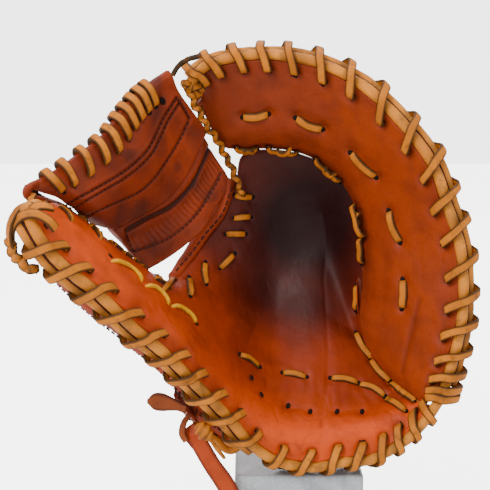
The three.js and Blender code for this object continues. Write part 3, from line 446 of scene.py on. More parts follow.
def mesh_of(name, points, faces, material, nodes=(), attributes=None):
    """A piece on the still body, from points in millimetres."""
    mesh = bpy.data.meshes.new(name)
    mesh.from_pydata((points * MM).tolist(), [], outward(points, faces))
    mesh.polygons.foreach_set("use_smooth", [True] * len(mesh.polygons))
    for key, values in (attributes or {}).items():
        layer = mesh.attributes.new(key, "FLOAT", "POINT")
        layer.data.foreach_set("value", np.asarray(values, np.float32).ravel())
    mesh.materials.append(material)
    mesh.update()
    piece = bpy.data.objects.new(name, mesh)
    bpy.context.scene.collection.objects.link(piece)
    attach(piece, "root")
    if nodes:
        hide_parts(*nodes)
    return piece


def make(name, rings, material, nodes=(), attributes=None):
    """A closed mesh through rings of points."""
    rings = np.asarray(rings, float)
    faces = ring_faces(*rings.shape[:2])
    return mesh_of(name, rings.reshape(-1, 3), faces, material, nodes, attributes)


def joined(name, ring_sets, material, edges=None, nodes=()):
    """One piece out of many closed meshes, such as a row of stitches."""
    points, faces, marks, first = [], [], [], 0
    for number, rings in enumerate(ring_sets):
        flat = rings.reshape(-1, 3)
        faces += [[first + corner for corner in face] for face in outward(flat, ring_faces(*rings.shape[:2]))]
        points.append(flat)
        marks.append(np.zeros(len(flat)) if edges is None else edges[number].ravel())
        first += len(flat)
    points, marks = np.concatenate(points), np.concatenate(marks)
    return mesh_of(name, points, faces, material, nodes, {"edge": marks})


def along_frames(points, looks):
    points = np.asarray(points, float)
    ahead = unit(np.gradient(points, axis=0))
    side = unit(np.cross(ahead, looks))
    return ahead, side, unit(np.cross(side, ahead))


OVAL = [(math.cos(a), math.sin(a)) for a in (np.arange(12) + 0.5) / 12 * 2 * math.pi]


def ribbon_rings(points, looks, width, thickness, wave=0.25):
    """A flat lace with rounded edges."""
    points = np.asarray(points, float)
    _, side, up = along_frames(points, looks)
    n = len(points)
    w = np.broadcast_to(np.asarray(width, float), (n,)) / 2
    h = np.broadcast_to(np.asarray(thickness, float), (n,)) / 2
    rings, edges = [], []
    for x, y in OVAL:
        px = math.copysign(abs(x) ** 0.45, x)
        py = math.copysign(abs(y) ** 0.6, y)
        rings.append(points + side * (w * px)[:, None] + up * (h * py)[:, None])
        edges.append(np.full(n, 0.92 if abs(px) > 0.8 else 0.0))
    rings = np.stack(rings, 1)
    if wave:
        rings = rings + up[:, None, :] * noise(rings, 4.0)[..., None] * wave
    return rings, np.stack(edges, 1)


def tube_rings(points, radius, sides=12, squash=1.0):
    points = np.asarray(points, float)
    ahead = unit(np.gradient(points, axis=0))
    side = np.zeros_like(points)
    reference = np.array([0.0, -1.0, 0.0]) if abs(ahead[0][1]) < 0.8 else np.array([1.0, 0.0, 0.0])
    side[0] = unit(np.cross(ahead[0], reference))
    for i in range(1, len(points)):
        side[i] = unit(side[i - 1] - ahead[i] * np.dot(side[i - 1], ahead[i]))
    up = np.cross(side, ahead)
    r = np.broadcast_to(np.asarray(radius, float), (len(points),))
    rings = []
    for k in range(sides):
        a = (k + 0.5) / sides * 2 * math.pi
        rings.append(points + side * (r * math.cos(a))[:, None] + up * (r * squash * math.sin(a))[:, None])
    return np.stack(rings, 1)


# Camera: the photograph's viewing angle
PITCH, DISTANCE, FOCAL, CENTRE = math.radians(10), 650.0, 942.0, 245.0
TARGET = np.array([-37.0, -12.0, 211.0])
FORWARD = np.array([0, math.cos(PITCH), -math.sin(PITCH)])
UPWARD = np.array([0, math.sin(PITCH), math.cos(PITCH)])
RIGHTWARD = np.array([1.0, 0, 0])
EYE = TARGET - FORWARD * DISTANCE
camera_data = bpy.data.cameras.new("camera")
camera = bpy.data.objects.new("camera", camera_data)
bpy.context.scene.collection.objects.link(camera)
camera.location = Vector((EYE * MM).tolist())
camera.rotation_euler = (math.pi / 2 - PITCH, 0, 0)
camera_data.sensor_width = 36.0
camera_data.lens = FOCAL / (2 * CENTRE) * 36.0
camera_data.clip_start, camera_data.clip_end = 0.01, 50
bpy.context.scene.camera = camera

palm = Sheet(PALM, ["rim", "crest", "crease", "pocket", "edge"], 1, 0)
crescent = Sheet(CRESCENT, ["inner", "low", "high", "rim"], -1, 1)
web_bar = Sheet(WEB_BAR, ["top", "seam", "low"], -1, 0)
web_panel = Sheet(WEB_PANEL, ["top", "groove", "seam", "low"], -1, 0)


def face_tree(sheet):
    s, t = np.meshgrid(np.linspace(0, sheet.last, 160), np.linspace(0, 1, 60), indexing="ij")
    p = sheet.point(s, t)
    n, m = s.shape
    i, j = np.meshgrid(np.arange(n - 1), np.arange(m - 1), indexing="ij")
    quads = np.stack([i * m + j, (i + 1) * m + j, (i + 1) * m + j + 1, i * m + j + 1], -1).reshape(-1, 4)
    return BVHTree.FromPolygons(p.reshape(-1, 3).tolist(), quads.tolist())


TREES = {
    "palm": face_tree(palm),
    "crescent": face_tree(crescent),
    "bar": face_tree(web_bar),
    "panel": face_tree(web_panel),
}


def sight(pixel):
    """The way from the eye through a pixel."""
    return FORWARD * FOCAL + RIGHTWARD * (pixel[0] - CENTRE) + UPWARD * (CENTRE - pixel[1])


def cast(pixel, on):
    """Where the sight line through a pixel meets one of the front faces, and the way that face looks."""
    way = unit(sight(pixel))
    hit, normal, _, _ = TREES[on].ray_cast(Vector(EYE.tolist()), Vector(way.tolist()))
    if hit is None:
        hit, normal = nearest(way, on)
    normal = np.array(normal)
    return np.array(hit), normal if np.dot(normal, way) < 0 else -normal


def nearest(way, on):
    best = None
    for far in np.linspace(480, 780, 61):
        hit, normal, _, distance = TREES[on].find_nearest(Vector((EYE + way * far).tolist()))
        if best is None or distance < best[2]:
            best = (hit, normal, distance)
    return best[0], best[1]


def cast_line(pixels, on, count=None):
    line = curve([(*p, 0) for p in pixels], count or len(pixels) * 6)[:, :2]
    hits = [cast(p, on) for p in line]
    return np.array([h[0] for h in hits]), np.array([h[1] for h in hits])


# Materials


def srgb(text):
    parts = [int(text[i:i + 2], 16) / 255 for i in (0, 2, 4)]
    return tuple(((c + 0.055) / 1.055) ** 2.4 if c > 0.04045 else c / 12.92 for c in parts)


class Shader:
    """A principled material with helpers for layers of colour and bumps."""

    def __init__(self, name, roughness, specular=0.16):
        self.material = bpy.data.materials.new(name)
        self.material.use_nodes = True
        self.nodes = self.material.node_tree.nodes
        self.links = self.material.node_tree.links
        self.shader = self.nodes["Principled BSDF"]
        self.shader.inputs["Roughness"].default_value = roughness
        self.shader.inputs["Specular IOR Level"].default_value = specular
        self.coordinates = self.nodes.new("ShaderNodeTexCoord").outputs["Object"]
        self.normal = None

    def noise(self, scale, detail=3.0, stretch=None, distortion=0.0):
        node = self.nodes.new("ShaderNodeTexNoise")
        node.inputs["Scale"].default_value = scale
        node.inputs["Detail"].default_value = detail
        node.inputs["Distortion"].default_value = distortion
        self.links.new(self.mapped(stretch), node.inputs["Vector"])
        return node.outputs["Fac"]

    def cells(self, scale, feature="F1"):
        node = self.nodes.new("ShaderNodeTexVoronoi")
        node.feature = feature
        node.inputs["Scale"].default_value = scale
        self.links.new(self.coordinates, node.inputs["Vector"])
        return node.outputs["Distance"]

    def mapped(self, stretch):
        if not stretch:
            return self.coordinates
        node = self.nodes.new("ShaderNodeMapping")
        node.inputs["Scale"].default_value = stretch
        self.links.new(self.coordinates, node.inputs["Vector"])
        return node.outputs["Vector"]

    def attribute(self, name):
        node = self.nodes.new("ShaderNodeAttribute")
        node.attribute_name = name
        return node.outputs["Fac"]

    def span(self, value, low, high, out_low=0.0, out_high=1.0):
        node = self.nodes.new("ShaderNodeMapRange")
        for key, number in zip(("From Min", "From Max", "To Min", "To Max"), (low, high, out_low, out_high)):
            node.inputs[key].default_value = number
        self.links.new(value, node.inputs["Value"])
        return node.outputs["Result"]

    def mix(self, amount, first, second):
        node = self.nodes.new("ShaderNodeMix")
        node.data_type = "RGBA"
        self.join(amount, node.inputs["Factor"])
        self.join(first, node.inputs["A"])
        self.join(second, node.inputs["B"])
        return node.outputs["Result"]

    def join(self, value, socket):
        if isinstance(value, (float, int)):
            socket.default_value = value
        elif isinstance(value, tuple):
            socket.default_value = (*value, 1)
        else:
            self.links.new(value, socket)

    def bump(self, height, strength, distance):
        node = self.nodes.new("ShaderNodeBump")
        node.inputs["Strength"].default_value = strength
        node.inputs["Distance"].default_value = distance
        self.links.new(height, node.inputs["Height"])
        if self.normal is not None:
            self.links.new(self.normal, node.inputs["Normal"])
        self.normal = node.outputs["Normal"]

    def done(self, colour, roughness=None):
        self.join(colour, self.shader.inputs["Base Color"])
        if roughness is not None:
            self.links.new(roughness, self.shader.inputs["Roughness"])
        if self.normal is not None:
            self.links.new(self.normal, self.shader.inputs["Normal"])
        return self.material


def leather(name, colours, roughness=0.46):
    """Worn leather from its light, middle, deep and darkening colours. The shade layer brings in the deep
    colour. The darkening layer brings in the last one, for real stains and for painted shade and sheen.
    """
    light, middle, deep, darkening = [srgb(colour) for colour in colours.split()]
    s = Shader(name, roughness)
    broad = s.span(s.noise(14, 4, distortion=0.6), 0.3, 0.72)
    base = s.mix(broad, light, middle)
    mottled = s.mix(s.span(s.noise(60, 5), 0.45, 0.8, 0, 0.55), base, deep)
    flecks = s.mix(s.span(s.noise(420, 3), 0.58, 0.78, 0, 0.3), mottled, deep)
    # Painted shade from the shade layer; real stains, painted shade and painted sheen from the darkening
    # layer
    shaded = s.mix(s.attribute("shade"), flecks, deep)
    darkened = s.mix(s.attribute("darkening"), shaded, darkening)
    grain = s.cells(900, "DISTANCE_TO_EDGE")
    s.bump(s.noise(110, 4, distortion=0.4), 0.35, 0.0012)
    s.bump(s.span(grain, 0, 0.25), 0.22, 0.0003)
    s.bump(s.noise(1600, 2), 0.15, 0.0003)
    rough = s.span(s.noise(45, 4), 0.3, 0.75, roughness - 0.08, roughness + 0.14)
    return s.done(darkened, rough)


def rawhide(name, colours, roughness=0.62, darkening=0.5):
    """Rawhide from its light, deep and edge colours."""
    light, deep, edge = [srgb(colour) for colour in colours.split()]
    s = Shader(name, roughness, 0.15)
    base = s.mix(s.span(s.noise(55, 4), 0.32, 0.72), light, deep)
    stained = s.mix(s.span(s.noise(95, 5, distortion=0.5), 0.56, 0.78, 0, darkening), base, edge)
    fibres = s.mix(s.span(s.noise(500, 3), 0.55, 0.8, 0, 0.35), stained, edge)
    edged = s.mix(s.attribute("edge"), fibres, edge)
    s.bump(s.noise(260, 4), 0.35, 0.0006)
    s.bump(s.noise(1300, 2), 0.25, 0.0003)
    return s.done(edged)


LEATHER_THUMB = leather("thumb_leather", "c9480a b23a07 581604 12070a")
LEATHER_CRESCENT = leather("crescent_leather", "8c3108 782806 461405 1c0b0c")
LEATHER_WEB = leather("web_leather", "90320c 74260a 3a1006 2c1814")
LEATHER_BACK = leather("back_leather", "9c360d 862b09 501807 2c1612", 0.5)
LEATHER_STRAP = leather("strap_leather_look", "9e3a10 8a2e0c 521a0a 2c1612", 0.5)
LEATHER_DARK = leather("dark_leather_look", "4c2216 38180f 1a0c08 77695f", 0.62)
LEATHER_TONGUE = leather("tongue_leather", "854018 6c3012 40190a 2c1612", 0.5)
RAWHIDE = rawhide("lace_rawhide", "bb6b12 91500c 30200f", 0.62, 0.8)
BINDING = rawhide("binding_rawhide", "cd7e26 ab6218 54391a", 0.58, 0.85)
WELT = rawhide("welt_leather", "401208 2c0c06 180704")


def plain(name, colour, roughness, fine=1500, strength=0.2):
    s = Shader(name, roughness)
    tone = tuple(c * 0.72 for c in colour)
    s.bump(s.noise(fine, 2), strength, 0.0003)
    return s.done(s.mix(s.span(s.noise(fine / 4, 3), 0.35, 0.7), colour, tone))


THREAD_YELLOW = plain("yellow_thread", srgb("cd8f00"), 0.45, 2500, 0.5)
THREAD_DARK = plain("dark_thread", srgb("3a1a12"), 0.7, 2500, 0.5)
# Painted shade for the insides of the lace and stitch holes
HOLE_SHADE = plain("hole_shade_dark", srgb("160b09"), 0.8)


def speckled():
    s = Shader("stand_grey_speckle", 0.42, 0.5)
    base = s.mix(s.span(s.noise(90, 4), 0.35, 0.7), srgb("a6a9ad"), srgb("8e9298"))
    fleck = s.mix(s.span(s.cells(520), 0.0, 0.32, 0.55, 0), base, srgb("e6e8ea"))
    dark = s.mix(s.span(s.noise(900, 2), 0.6, 0.75, 0, 0.5), fleck, srgb("6e7276"))
    streaked = s.mix(s.span(s.noise(60, 3, (6, 6, 0.5)), 0.45, 0.75, 0, 0.35), dark, srgb("7d8187"))
    s.bump(s.noise(700, 3), 0.2, 0.0003)
    s.bump(s.noise(120, 3, (5, 5, 0.6)), 0.3, 0.0004)
    return s.done(streaked)


STAND_LOOK = speckled()


def pale(name, colour):
    s = Shader(name, 0.6, 0.2)
    return s.done(s.mix(s.span(s.noise(3, 2), 0.3, 0.7, 0, 0.3), colour, tuple(c * 0.94 for c in colour)))


# Marks on the leather, as pixels of the photograph that the sight lines are laid through
CRESCENT_STITCHES = [
    [(243, 117), (255, 117), (268, 114)], [(296, 118), (308, 125), (322, 129)],
    [(351, 153), (362, 165), (376, 177)], [(389, 211), (393, 227), (400, 242)],
    [(403, 280), (404, 294), (402, 308)],
]
EDGE_STITCHES = [
    [(236, 149), (245, 157), (257, 160)], [(268, 149), (280, 158), (295, 162)],
    [(314, 162), (323, 176), (336, 185)], [(343, 209), (350, 213), (357, 222)],
    [(357, 213), (354, 224), (348, 234)], [(355, 224), (359, 230), (362, 236)],
    [(359, 239), (361, 251), (360, 263)],
]
CROSS_STITCHES = [
    [(242, 152), (248, 149), (254, 151)], [(277, 156), (283, 152), (290, 149)],
    [(322, 173), (328, 172), (335, 175)],
]
PALM_EDGE_STITCHES = [
    [(356, 286), (357, 298), (355, 310)],
    [(356, 333), (362, 346), (371, 357)], [(371, 360), (379, 371), (389, 380)],
    [(390, 382), (402, 392), (415, 399)],
]
PALM_STITCHES = [
    [(240, 355), (249, 359), (259, 367)], [(283, 373), (294, 374), (306, 377)],
    [(331, 378), (345, 379), (358, 383)], [(359, 384), (373, 388), (385, 396)],
    [(385, 398), (396, 404), (406, 411)],
    [(235, 195), (243, 197), (252, 197)], [(234, 218), (242, 217), (250, 217)],
    [(226, 234), (235, 234), (245, 234)], [(220, 268), (226, 262), (234, 254)],
    [(205, 263), (204, 273), (206, 284)], [(189, 278), (190, 287), (190, 296)],
]
YELLOW_STITCHES = [
    [(111, 261), (120, 263), (130, 268), (138, 275), (142, 282)],
    [(145, 286), (155, 288), (164, 296), (169, 305)],
    [(171, 306), (181, 308), (191, 316), (196, 323)],
]
RED_DENTS = [[(288, 407), (299, 409), (310, 411)], [(337, 411), (350, 410), (362, 411)]]
BARE_HOLES = [(251, 378), (261, 395), (288, 406), (310, 412), (337, 412), (362, 412)]
YELLOW_HOLES = [(110, 256), (196, 324)]
PALM_CREASES = [
    [(325, 300), (327, 330), (328, 360), (326, 395), (321, 425)],
    [(322, 215), (326, 250), (324, 280), (327, 302)],
    [(250, 338), (253, 332), (258, 326)],
    [(326, 309), (332, 316), (341, 323), (355, 331)],
]
CRESCENT_CREASES = [[(419, 300), (413, 325), (407, 350), (402, 372)]]
BAR_LINES = [
    [(66, 205), (97, 188), (124, 172), (145, 154), (155, 138), (165, 117), (177, 98)],
    [(71, 210), (100, 193), (127, 177), (149, 158), (160, 140), (169, 120), (181, 101)],
    [(87, 216), (112, 205), (138, 193), (155, 178), (168, 160), (180, 140), (190, 119)],
    [(66, 205), (76, 211), (87, 216)], [(177, 98), (184, 108), (190, 119)],
]
PANEL_GROOVE = [(128, 230), (148, 218), (170, 208), (184, 196), (194, 184), (203, 166), (211, 148)]
PANEL_LINES = [
    [(134, 252), (152, 246), (170, 238), (188, 224), (202, 208), (213, 190), (222, 174)],
    [(127, 234), (130, 243), (134, 252)],
]


def hits(groups, on):
    return [cast_line(g, on) for g in groups]


crescent_runs = hits(CRESCENT_STITCHES, "crescent") + hits(EDGE_STITCHES, "crescent")
cross_runs = hits(CROSS_STITCHES, "crescent")
palm_runs = hits(PALM_STITCHES, "palm") + hits(PALM_EDGE_STITCHES, "palm")
yellow_runs = hits(YELLOW_STITCHES, "palm")
bare = [cast(p, "palm") for p in BARE_HOLES]
yellow_bare = [cast(p, "palm") for p in YELLOW_HOLES]
palm_creases = [dense(cast_line(g, "palm")[0]) for g in PALM_CREASES]
red_dents = [dense(cast_line(g, "palm")[0]) for g in RED_DENTS]
crescent_creases = [dense(cast_line(g, "crescent")[0]) for g in CRESCENT_CREASES]
bar_lines = [dense(cast_line(g, "bar")[0]) for g in BAR_LINES]
panel_groove = dense(cast_line(PANEL_GROOVE, "panel")[0])
panel_lines = [dense(cast_line(g, "panel")[0]) for g in PANEL_LINES]


def ends(runs):
    return np.array([p for line, _ in runs for p in (line[0], line[-1])])


def dent(points, spots, width):
    return np.exp(-(far_from(points, spots) / width) ** 2)


# Padded panels


def soft(section, name, t):
    at = [cut["t"] for cut in section]
    values = [cut[name] for cut in section]
    return sum(np.interp(t + d, at, values) for d in (-0.05, -0.025, 0, 0.025, 0.05)) / 5


def panel_rings(sheet, s, section, thickness, across, lift, reach):
    """Rings of a padded panel: over the front, round the edge, back behind and round the rim."""
    t = np.linspace(0, 1, across)
    grid_s, grid_t = np.meshgrid(s, reach[0] + t * (reach[1] - reach[0]), indexing="ij")
    thick = np.asarray([thickness(x) for x in s])[:, None]
    front = soft(section, "front", t)[None, :] * thick
    back = soft(section, "back", t)[None, :] * thick
    base = sheet.point(grid_s, grid_t)
    raised, marks = lift(base, grid_s, grid_t)
    front_points = sheet.behind(grid_s, grid_t, front - raised)
    back_points = sheet.behind(grid_s, grid_t, back + noise(base, 14.0) * 0.5)
    sides = []
    for share, column in ((1, -1), (0, 0)):
        arc = []
        for a in (0.25, 0.5, 0.75) if share else (0.75, 0.5, 0.25):
            depth = front[:, column] + (back[:, column] - front[:, column]) * (1 - math.cos(math.pi * a)) / 2
            arc.append(sheet.beside(s, reach[share], math.sin(math.pi * a) * 0.8, depth))
        sides.append(np.stack(arc, 1))
    rings = np.concatenate([front_points, sides[0], back_points[:, ::-1], sides[1]], 1)
    full = {}
    for key, values in marks.items():
        low, high = values[:, :1], values[:, -1:]
        full[key] = np.concatenate([
            values, np.repeat(high, 3, 1), np.repeat(high, across, 1) * 0.3, np.repeat(low, 3, 1)], 1)
    return rings, full


def between(rows, name, position):
    return np.interp(position, range(len(rows)), [row[name] for row in rows])


PALM_HOLES = palm.near(np.array(THUMB_HOLES + HEEL_HOLES), -LACE_INSET, 0)
CRESCENT_HOLES = crescent.near(np.array(FINGER_HOLES), -LACE_INSET, 0)
BAR_HOLE_POINTS = web_bar.near(np.array(BAR_HOLES), -BAR_INSET, 0)
# Centres of the pocket's dark stain, of a painted grey sheen, and of the darker patch below the pocket
DARK_SPOT, SHEEN_SPOT, LOW_SPOT = (305, 215), (268, 288), (300, 300)
dark_centre, sheen_centre, low_centre = [cast(spot, "palm")[0] for spot in (DARK_SPOT, SHEEN_SPOT, LOW_SPOT)]

# Uneven leather, as the width and the height of its bumps
PALM_BUMPS = [(38.0, 0.8), (11.0, 0.25), (4.5, 0.08)]
CRESCENT_BUMPS = [(42.0, 0.9), (12.0, 0.25), (4.5, 0.08)]
BAR_BUMPS = [(22.0, 0.7), (8.0, 0.2)]
PANEL_BUMPS = [(20.0, 0.6), (7.0, 0.2)]
BACK_BUMPS = [(30.0, 1.1), (10.0, 0.35), (4.5, 0.1)]
# Dents, as the width and the depth round a hole, along a crease or beside it
HOLE_DENT, FINGER_HOLE_DENT, BAR_HOLE_DENT = (4.2, 1.6), (4.2, 1.7), (3.0, 1.2)
STITCH_DENT, FINGER_STITCH_DENT, YELLOW_DENT, BARE_DENT = (3.2, 1.5), (3.4, 1.8), (3.0, 1.2), (3.0, 1.3)
CREASE_CUT, CREASE_VALLEY, STITCH_VALLEY = (1.6, 0.5), (7.0, 0.7), (7.0, 0.8)
RED_DENT, CRESCENT_CREASE = (3.2, 0.9), (2.5, 0.5)


def bumps(points, layers):
    return sum(noise(points, width) * height for width, height in layers)


def dip(points, spots, shape):
    return dent(points, spots, shape[0]) * shape[1]


def most(*layers):
    """The greatest of some layers, point by point."""
    total = layers[0]
    for layer in layers[1:]:
        total = np.maximum(total, layer)
    return total


def palm_lift(points, s, t):
    raised = bumps(points, PALM_BUMPS) - dip(points, PALM_HOLES, HOLE_DENT)
    raised -= dip(points, ends(palm_runs), STITCH_DENT) + dip(points, ends(yellow_runs), YELLOW_DENT)
    raised -= dip(points, np.array([p for p, _ in bare]), BARE_DENT)
    for line in palm_creases:
        raised -= dip(points, line, CREASE_CUT)
        raised -= dip(points, line, CREASE_VALLEY)
    for line in red_dents:
        raised -= dip(points, line, RED_DENT)
    ripples = np.sin((s * 3.1 + noise(points, 16.0) * 1.6) * math.pi) * 0.2
    raised += ripples * np.exp(-((t - 0.42) / 0.13) ** 2) * np.clip((s - 5) / 2, 0, 1)
    crease = 1 - np.abs(noise(points, 13.0) + noise(points, 6.0) * 0.4)
    patches = noise(points, 34.0)
    raised -= np.clip(crease - 0.86, 0, 1) * 2.6 * np.clip(patches + 0.55, 0, 1)
    away = np.linalg.norm(points - dark_centre, axis=-1) + noise(points, 30.0) * 9
    sheen_distance = np.linalg.norm(points - sheen_centre, axis=-1) + noise(points, 22.0) * 7
    low = np.linalg.norm(points - low_centre, axis=-1) + noise(points, 26.0) * 8
    # Darkening layer: the pocket's real dark stain and the darker patch below it, with a painted grey sheen
    # round the sheen spot
    darkening = most(
        np.clip(1.45 - away / 62, 0, 1) ** 0.8,
        np.clip(1.0 - sheen_distance / 52, 0, 0.8),
        np.clip(0.95 - low / 48, 0, 0.75),
    )
    # Shade layer: painted shade towards the pocket, along the creases and dents, round the lace holes and
    # across the thumb's middle where the light falls off, with some random tone
    shade = most(
        np.clip(1.6 - away / 112, 0, 0.95),
        dent(points, np.concatenate(palm_creases), 2.0) * 0.5,
        np.exp(-((s - 5.3) / 2.1) ** 2) * (0.35 + 0.5 * t),
        dent(points, PALM_HOLES, 3.4) * 0.8,
        np.clip(noise(points, 19.0) * 0.9 - 0.25, 0, 0.35) * (0.4 + t),
        np.clip((t - 0.2) * 2.6, 0, 0.72) * np.clip((s - 4) / 2, 0, 1),
        *[dent(points, line, 3.0) * 0.4 for line in red_dents],
        np.clip(crease - 0.88, 0, 1) * 3.2 * np.clip(patches + 0.4, 0, 0.8),
    )
    return raised, {"darkening": darkening * 0.93, "shade": np.clip(shade, 0, 1)}


def crescent_lift(points, s, t):
    raised = bumps(points, CRESCENT_BUMPS) - dip(points, CRESCENT_HOLES, FINGER_HOLE_DENT)
    raised -= dip(points, ends(crescent_runs), FINGER_STITCH_DENT)
    for line, _ in crescent_runs:
        raised -= dip(points, dense(line), STITCH_VALLEY)
    for line in crescent_creases:
        raised -= dip(points, line, CRESCENT_CREASE)
    crease = 1 - np.abs(noise(points, 15.0) + noise(points, 6.0) * 0.4)
    raised -= np.clip(crease - 0.88, 0, 1) * 2.2 * np.clip(noise(points, 30.0) + 0.3, 0, 1)
    upper = np.exp(-((s - 12.5) / 2.6) ** 2) * 0.35
    shade = most(
        dent(points, CRESCENT_HOLES, 3.4) * 0.8,
        np.exp(-(t / 0.10) ** 2) * 0.55 * np.clip((s - 2) / 2, 0, 1),
        *[dent(points, line, 2.0) * 0.4 for line in crescent_creases],
        upper + np.clip(noise(points, 21.0), 0, 1) * 0.3,
    )
    # Both layers are darker round the lace holes: painted shade
    return raised, {"darkening": dent(points, CRESCENT_HOLES, 2.6) * 0.7, "shade": np.clip(shade, 0, 1)}


def line_marks(points, lines, deep, width):
    return most(np.zeros(points.shape[:-1]), *[dent(points, line, width) for line in lines]) * deep


def bar_lift(points, s, t):
    raised = bumps(points, BAR_BUMPS) - line_marks(points, bar_lines, 1.0, 1.0)
    raised += np.exp(-((far_from(points, bar_lines[0]) - 2.2) / 1.2) ** 2) * 0.5
    raised -= dip(points, BAR_HOLE_POINTS, BAR_HOLE_DENT)
    shade = most(
        line_marks(points, bar_lines, 0.85, 1.1),
        dent(points, BAR_HOLE_POINTS, 3.2) * 0.8,
        np.clip(noise(points, 18.0) * 0.8, 0, 0.45),
        np.clip(0.55 - s * 0.16, 0, 1) * 0.7,
    )
    return raised, {"darkening": np.clip(noise(points, 12.0) - 0.35, 0, 0.4), "shade": np.clip(shade, 0, 1)}


def inner_lift(points, s, t):
    raised = bumps(points, PANEL_BUMPS) - line_marks(points, [panel_groove], 2.4, 1.6)
    raised -= line_marks(points, panel_lines, 0.9, 1.0)
    band = np.exp(-((t - 0.52) / 0.14) ** 2)
    pleats = np.sin(s * 26 + noise(points, 9.0) * 1.5)
    raised += pleats * 0.28 * band
    shade = most(
        line_marks(points, [panel_groove], 1.0, 2.0),
        line_marks(points, panel_lines, 0.85, 1.1),
        np.clip(noise(points, 16.0) * 0.9, 0, 0.5),
        band * np.clip(pleats, 0, 1) * 0.35,
    )
    # Random dark patches, with painted shade along the groove
    darkening = np.clip(noise(points, 10.0) - 0.3, 0, 0.4) + line_marks(points, [panel_groove], 0.7, 1.4)
    return raised, {"darkening": np.clip(darkening, 0, 1), "shade": np.clip(shade, 0, 1)}


def palm_full(s):
    return between(PALM, "full", s) * PALM_PADDING


def crescent_full(s):
    return between(CRESCENT, "full", s) * FINGER_PADDING


def web_full(s):
    return WEB_ROLL


# Each panel's rows and columns of mesh, and how far across its sheet it reaches
PANELS = table("name sheet rows section full across lift reach slot look node", [
    ("palm_leather", palm, 320, PALM_SECTION, palm_full, 120, palm_lift, (0, 1),
     "orange_leather", LEATHER_THUMB, "palm"),
    ("finger_pad_leather", crescent, 320, FINGER_SECTION, crescent_full, 80, crescent_lift, (0, 1),
     "burnt_leather", LEATHER_CRESCENT, "finger_pad"),
    ("web_bar_leather", web_bar, 220, BAR_SECTION, web_full, 70, bar_lift, (0, 1.08),
     "web_leather", LEATHER_WEB, "web_top_bar"),
    ("web_inner_leather", web_panel, 180, INNER_SECTION, web_full, 60, inner_lift, (-0.05, 1.14),
     "web_leather", LEATHER_WEB, "web_inner_panel"),
])


def panel_piece(row):
    s = np.linspace(0, row["sheet"].last, row["rows"])
    form = [row[name] for name in ("section", "full", "across", "lift", "reach")]
    rings, marks = panel_rings(row["sheet"], s, *form)
    return make(row["name"], rings, row["look"], [row["node"]], marks)


palm_piece, crescent_piece, bar_piece, inner_piece = [panel_piece(row) for row in PANELS]


def tree_of(piece):
    corners = [tuple(v.co / MM) for v in piece.data.vertices]
    return BVHTree.FromPolygons(corners, [tuple(p.vertices) for p in piece.data.polygons])


# The marks are laid again, now on the leather as it has been modelled
TREES.update(palm=tree_of(palm_piece), crescent=tree_of(crescent_piece), bar=tree_of(bar_piece),
             panel=tree_of(inner_piece))
crescent_runs = hits(CRESCENT_STITCHES, "crescent") + crescent_runs[len(CRESCENT_STITCHES):]
palm_runs = hits(PALM_STITCHES, "palm") + palm_runs[len(PALM_STITCHES):]
yellow_runs = hits(YELLOW_STITCHES, "palm")
bare = [cast(p, "palm") for p in BARE_HOLES]
yellow_bare = [cast(p, "palm") for p in YELLOW_HOLES]
bar_lines = [dense(cast_line(g, "bar")[0]) for g in BAR_LINES]
panel_lines = [dense(cast_line(g, "panel")[0]) for g in PANEL_LINES]

# Backs of the thumb and finger stalls
RIB_STOPS = [0, 1, 2, 2.6, 3.3, 4, 5]


def rib(knots):
    net = ghosts(np.array(knots), 0)
    points = []
    for at in RIB_STOPS:
        i = min(int(at), len(knots) - 2)
        w = weights(np.array(at - i))
        points.append(knots[int(at)] if at <= 1 else sum(w[a] * net[i + a] for a in range(4)))
    return points


def one(value):
    return np.asarray(value, float)


def thumb_rib(position):
    s, reach = between(THUMB_BACK, "s", position), between(THUMB_BACK, "reach", position)
    far = between(THUMB_BACK, "far", position) * BACK_RISE
    top = between(THUMB_BACK, "top", position) * BACK_RISE
    band = LACE_BAND / palm.edge(one(s), 0)[0]
    bulge = between(THUMB_BACK, "bulge", position) * BACK_RISE
    return rib([
        palm.near(one(s), -0.01, BACK_SEAT), palm.near(one(s), -LACE_BAND, BACK_SEAT),
        palm.near(one(s), -LACE_BAND * 1.3, bulge),
        palm.behind(one(s), band + (reach - band) * 0.4, top),
        palm.behind(one(s), band + (reach - band) * 0.75, (top + far) / 2),
        palm.behind(one(s), reach, far),
    ])


LAST_OPEN = [row["row"] == 0 for row in FINGER_BACK].index(True) - 1


def finger_rib(position):
    s = between(FINGER_BACK, "s", position)
    middle = between(FINGER_BACK, "middle", position) * BACK_RISE
    far = between(FINGER_BACK, "far", position) * BACK_RISE
    open_at = min(position, LAST_OPEN)
    over = palm.behind(one(between(FINGER_BACK, "row", open_at)), between(FINGER_BACK, "reach", open_at), far)
    closed = crescent.behind(one(s), 0.04, far)
    share = min(max(position - LAST_OPEN, 0), 1)
    end = over * (1 - share) + closed * share
    return rib([
        crescent.near(one(s), -0.01, BACK_SEAT), crescent.near(one(s), -LACE_BAND, BACK_SEAT),
        crescent.behind(one(s), 0.6, middle * 0.8), crescent.behind(one(s), 0.35, middle),
        crescent.behind(one(s), 0.1, middle) * 0.65 + end * 0.35, end,
    ])


def outer_of(inside, thickness):
    rise, cross = np.gradient(inside, axis=0), np.gradient(inside, axis=1)
    return inside + unit(np.cross(cross, rise)) * np.asarray(thickness)[..., None]


thumb_ribs = np.array([thumb_rib(p) for p in np.linspace(0, len(THUMB_BACK) - 1, 17)])
finger_ribs = np.array([finger_rib(p) for p in np.linspace(0, len(FINGER_BACK) - 1, 22)])


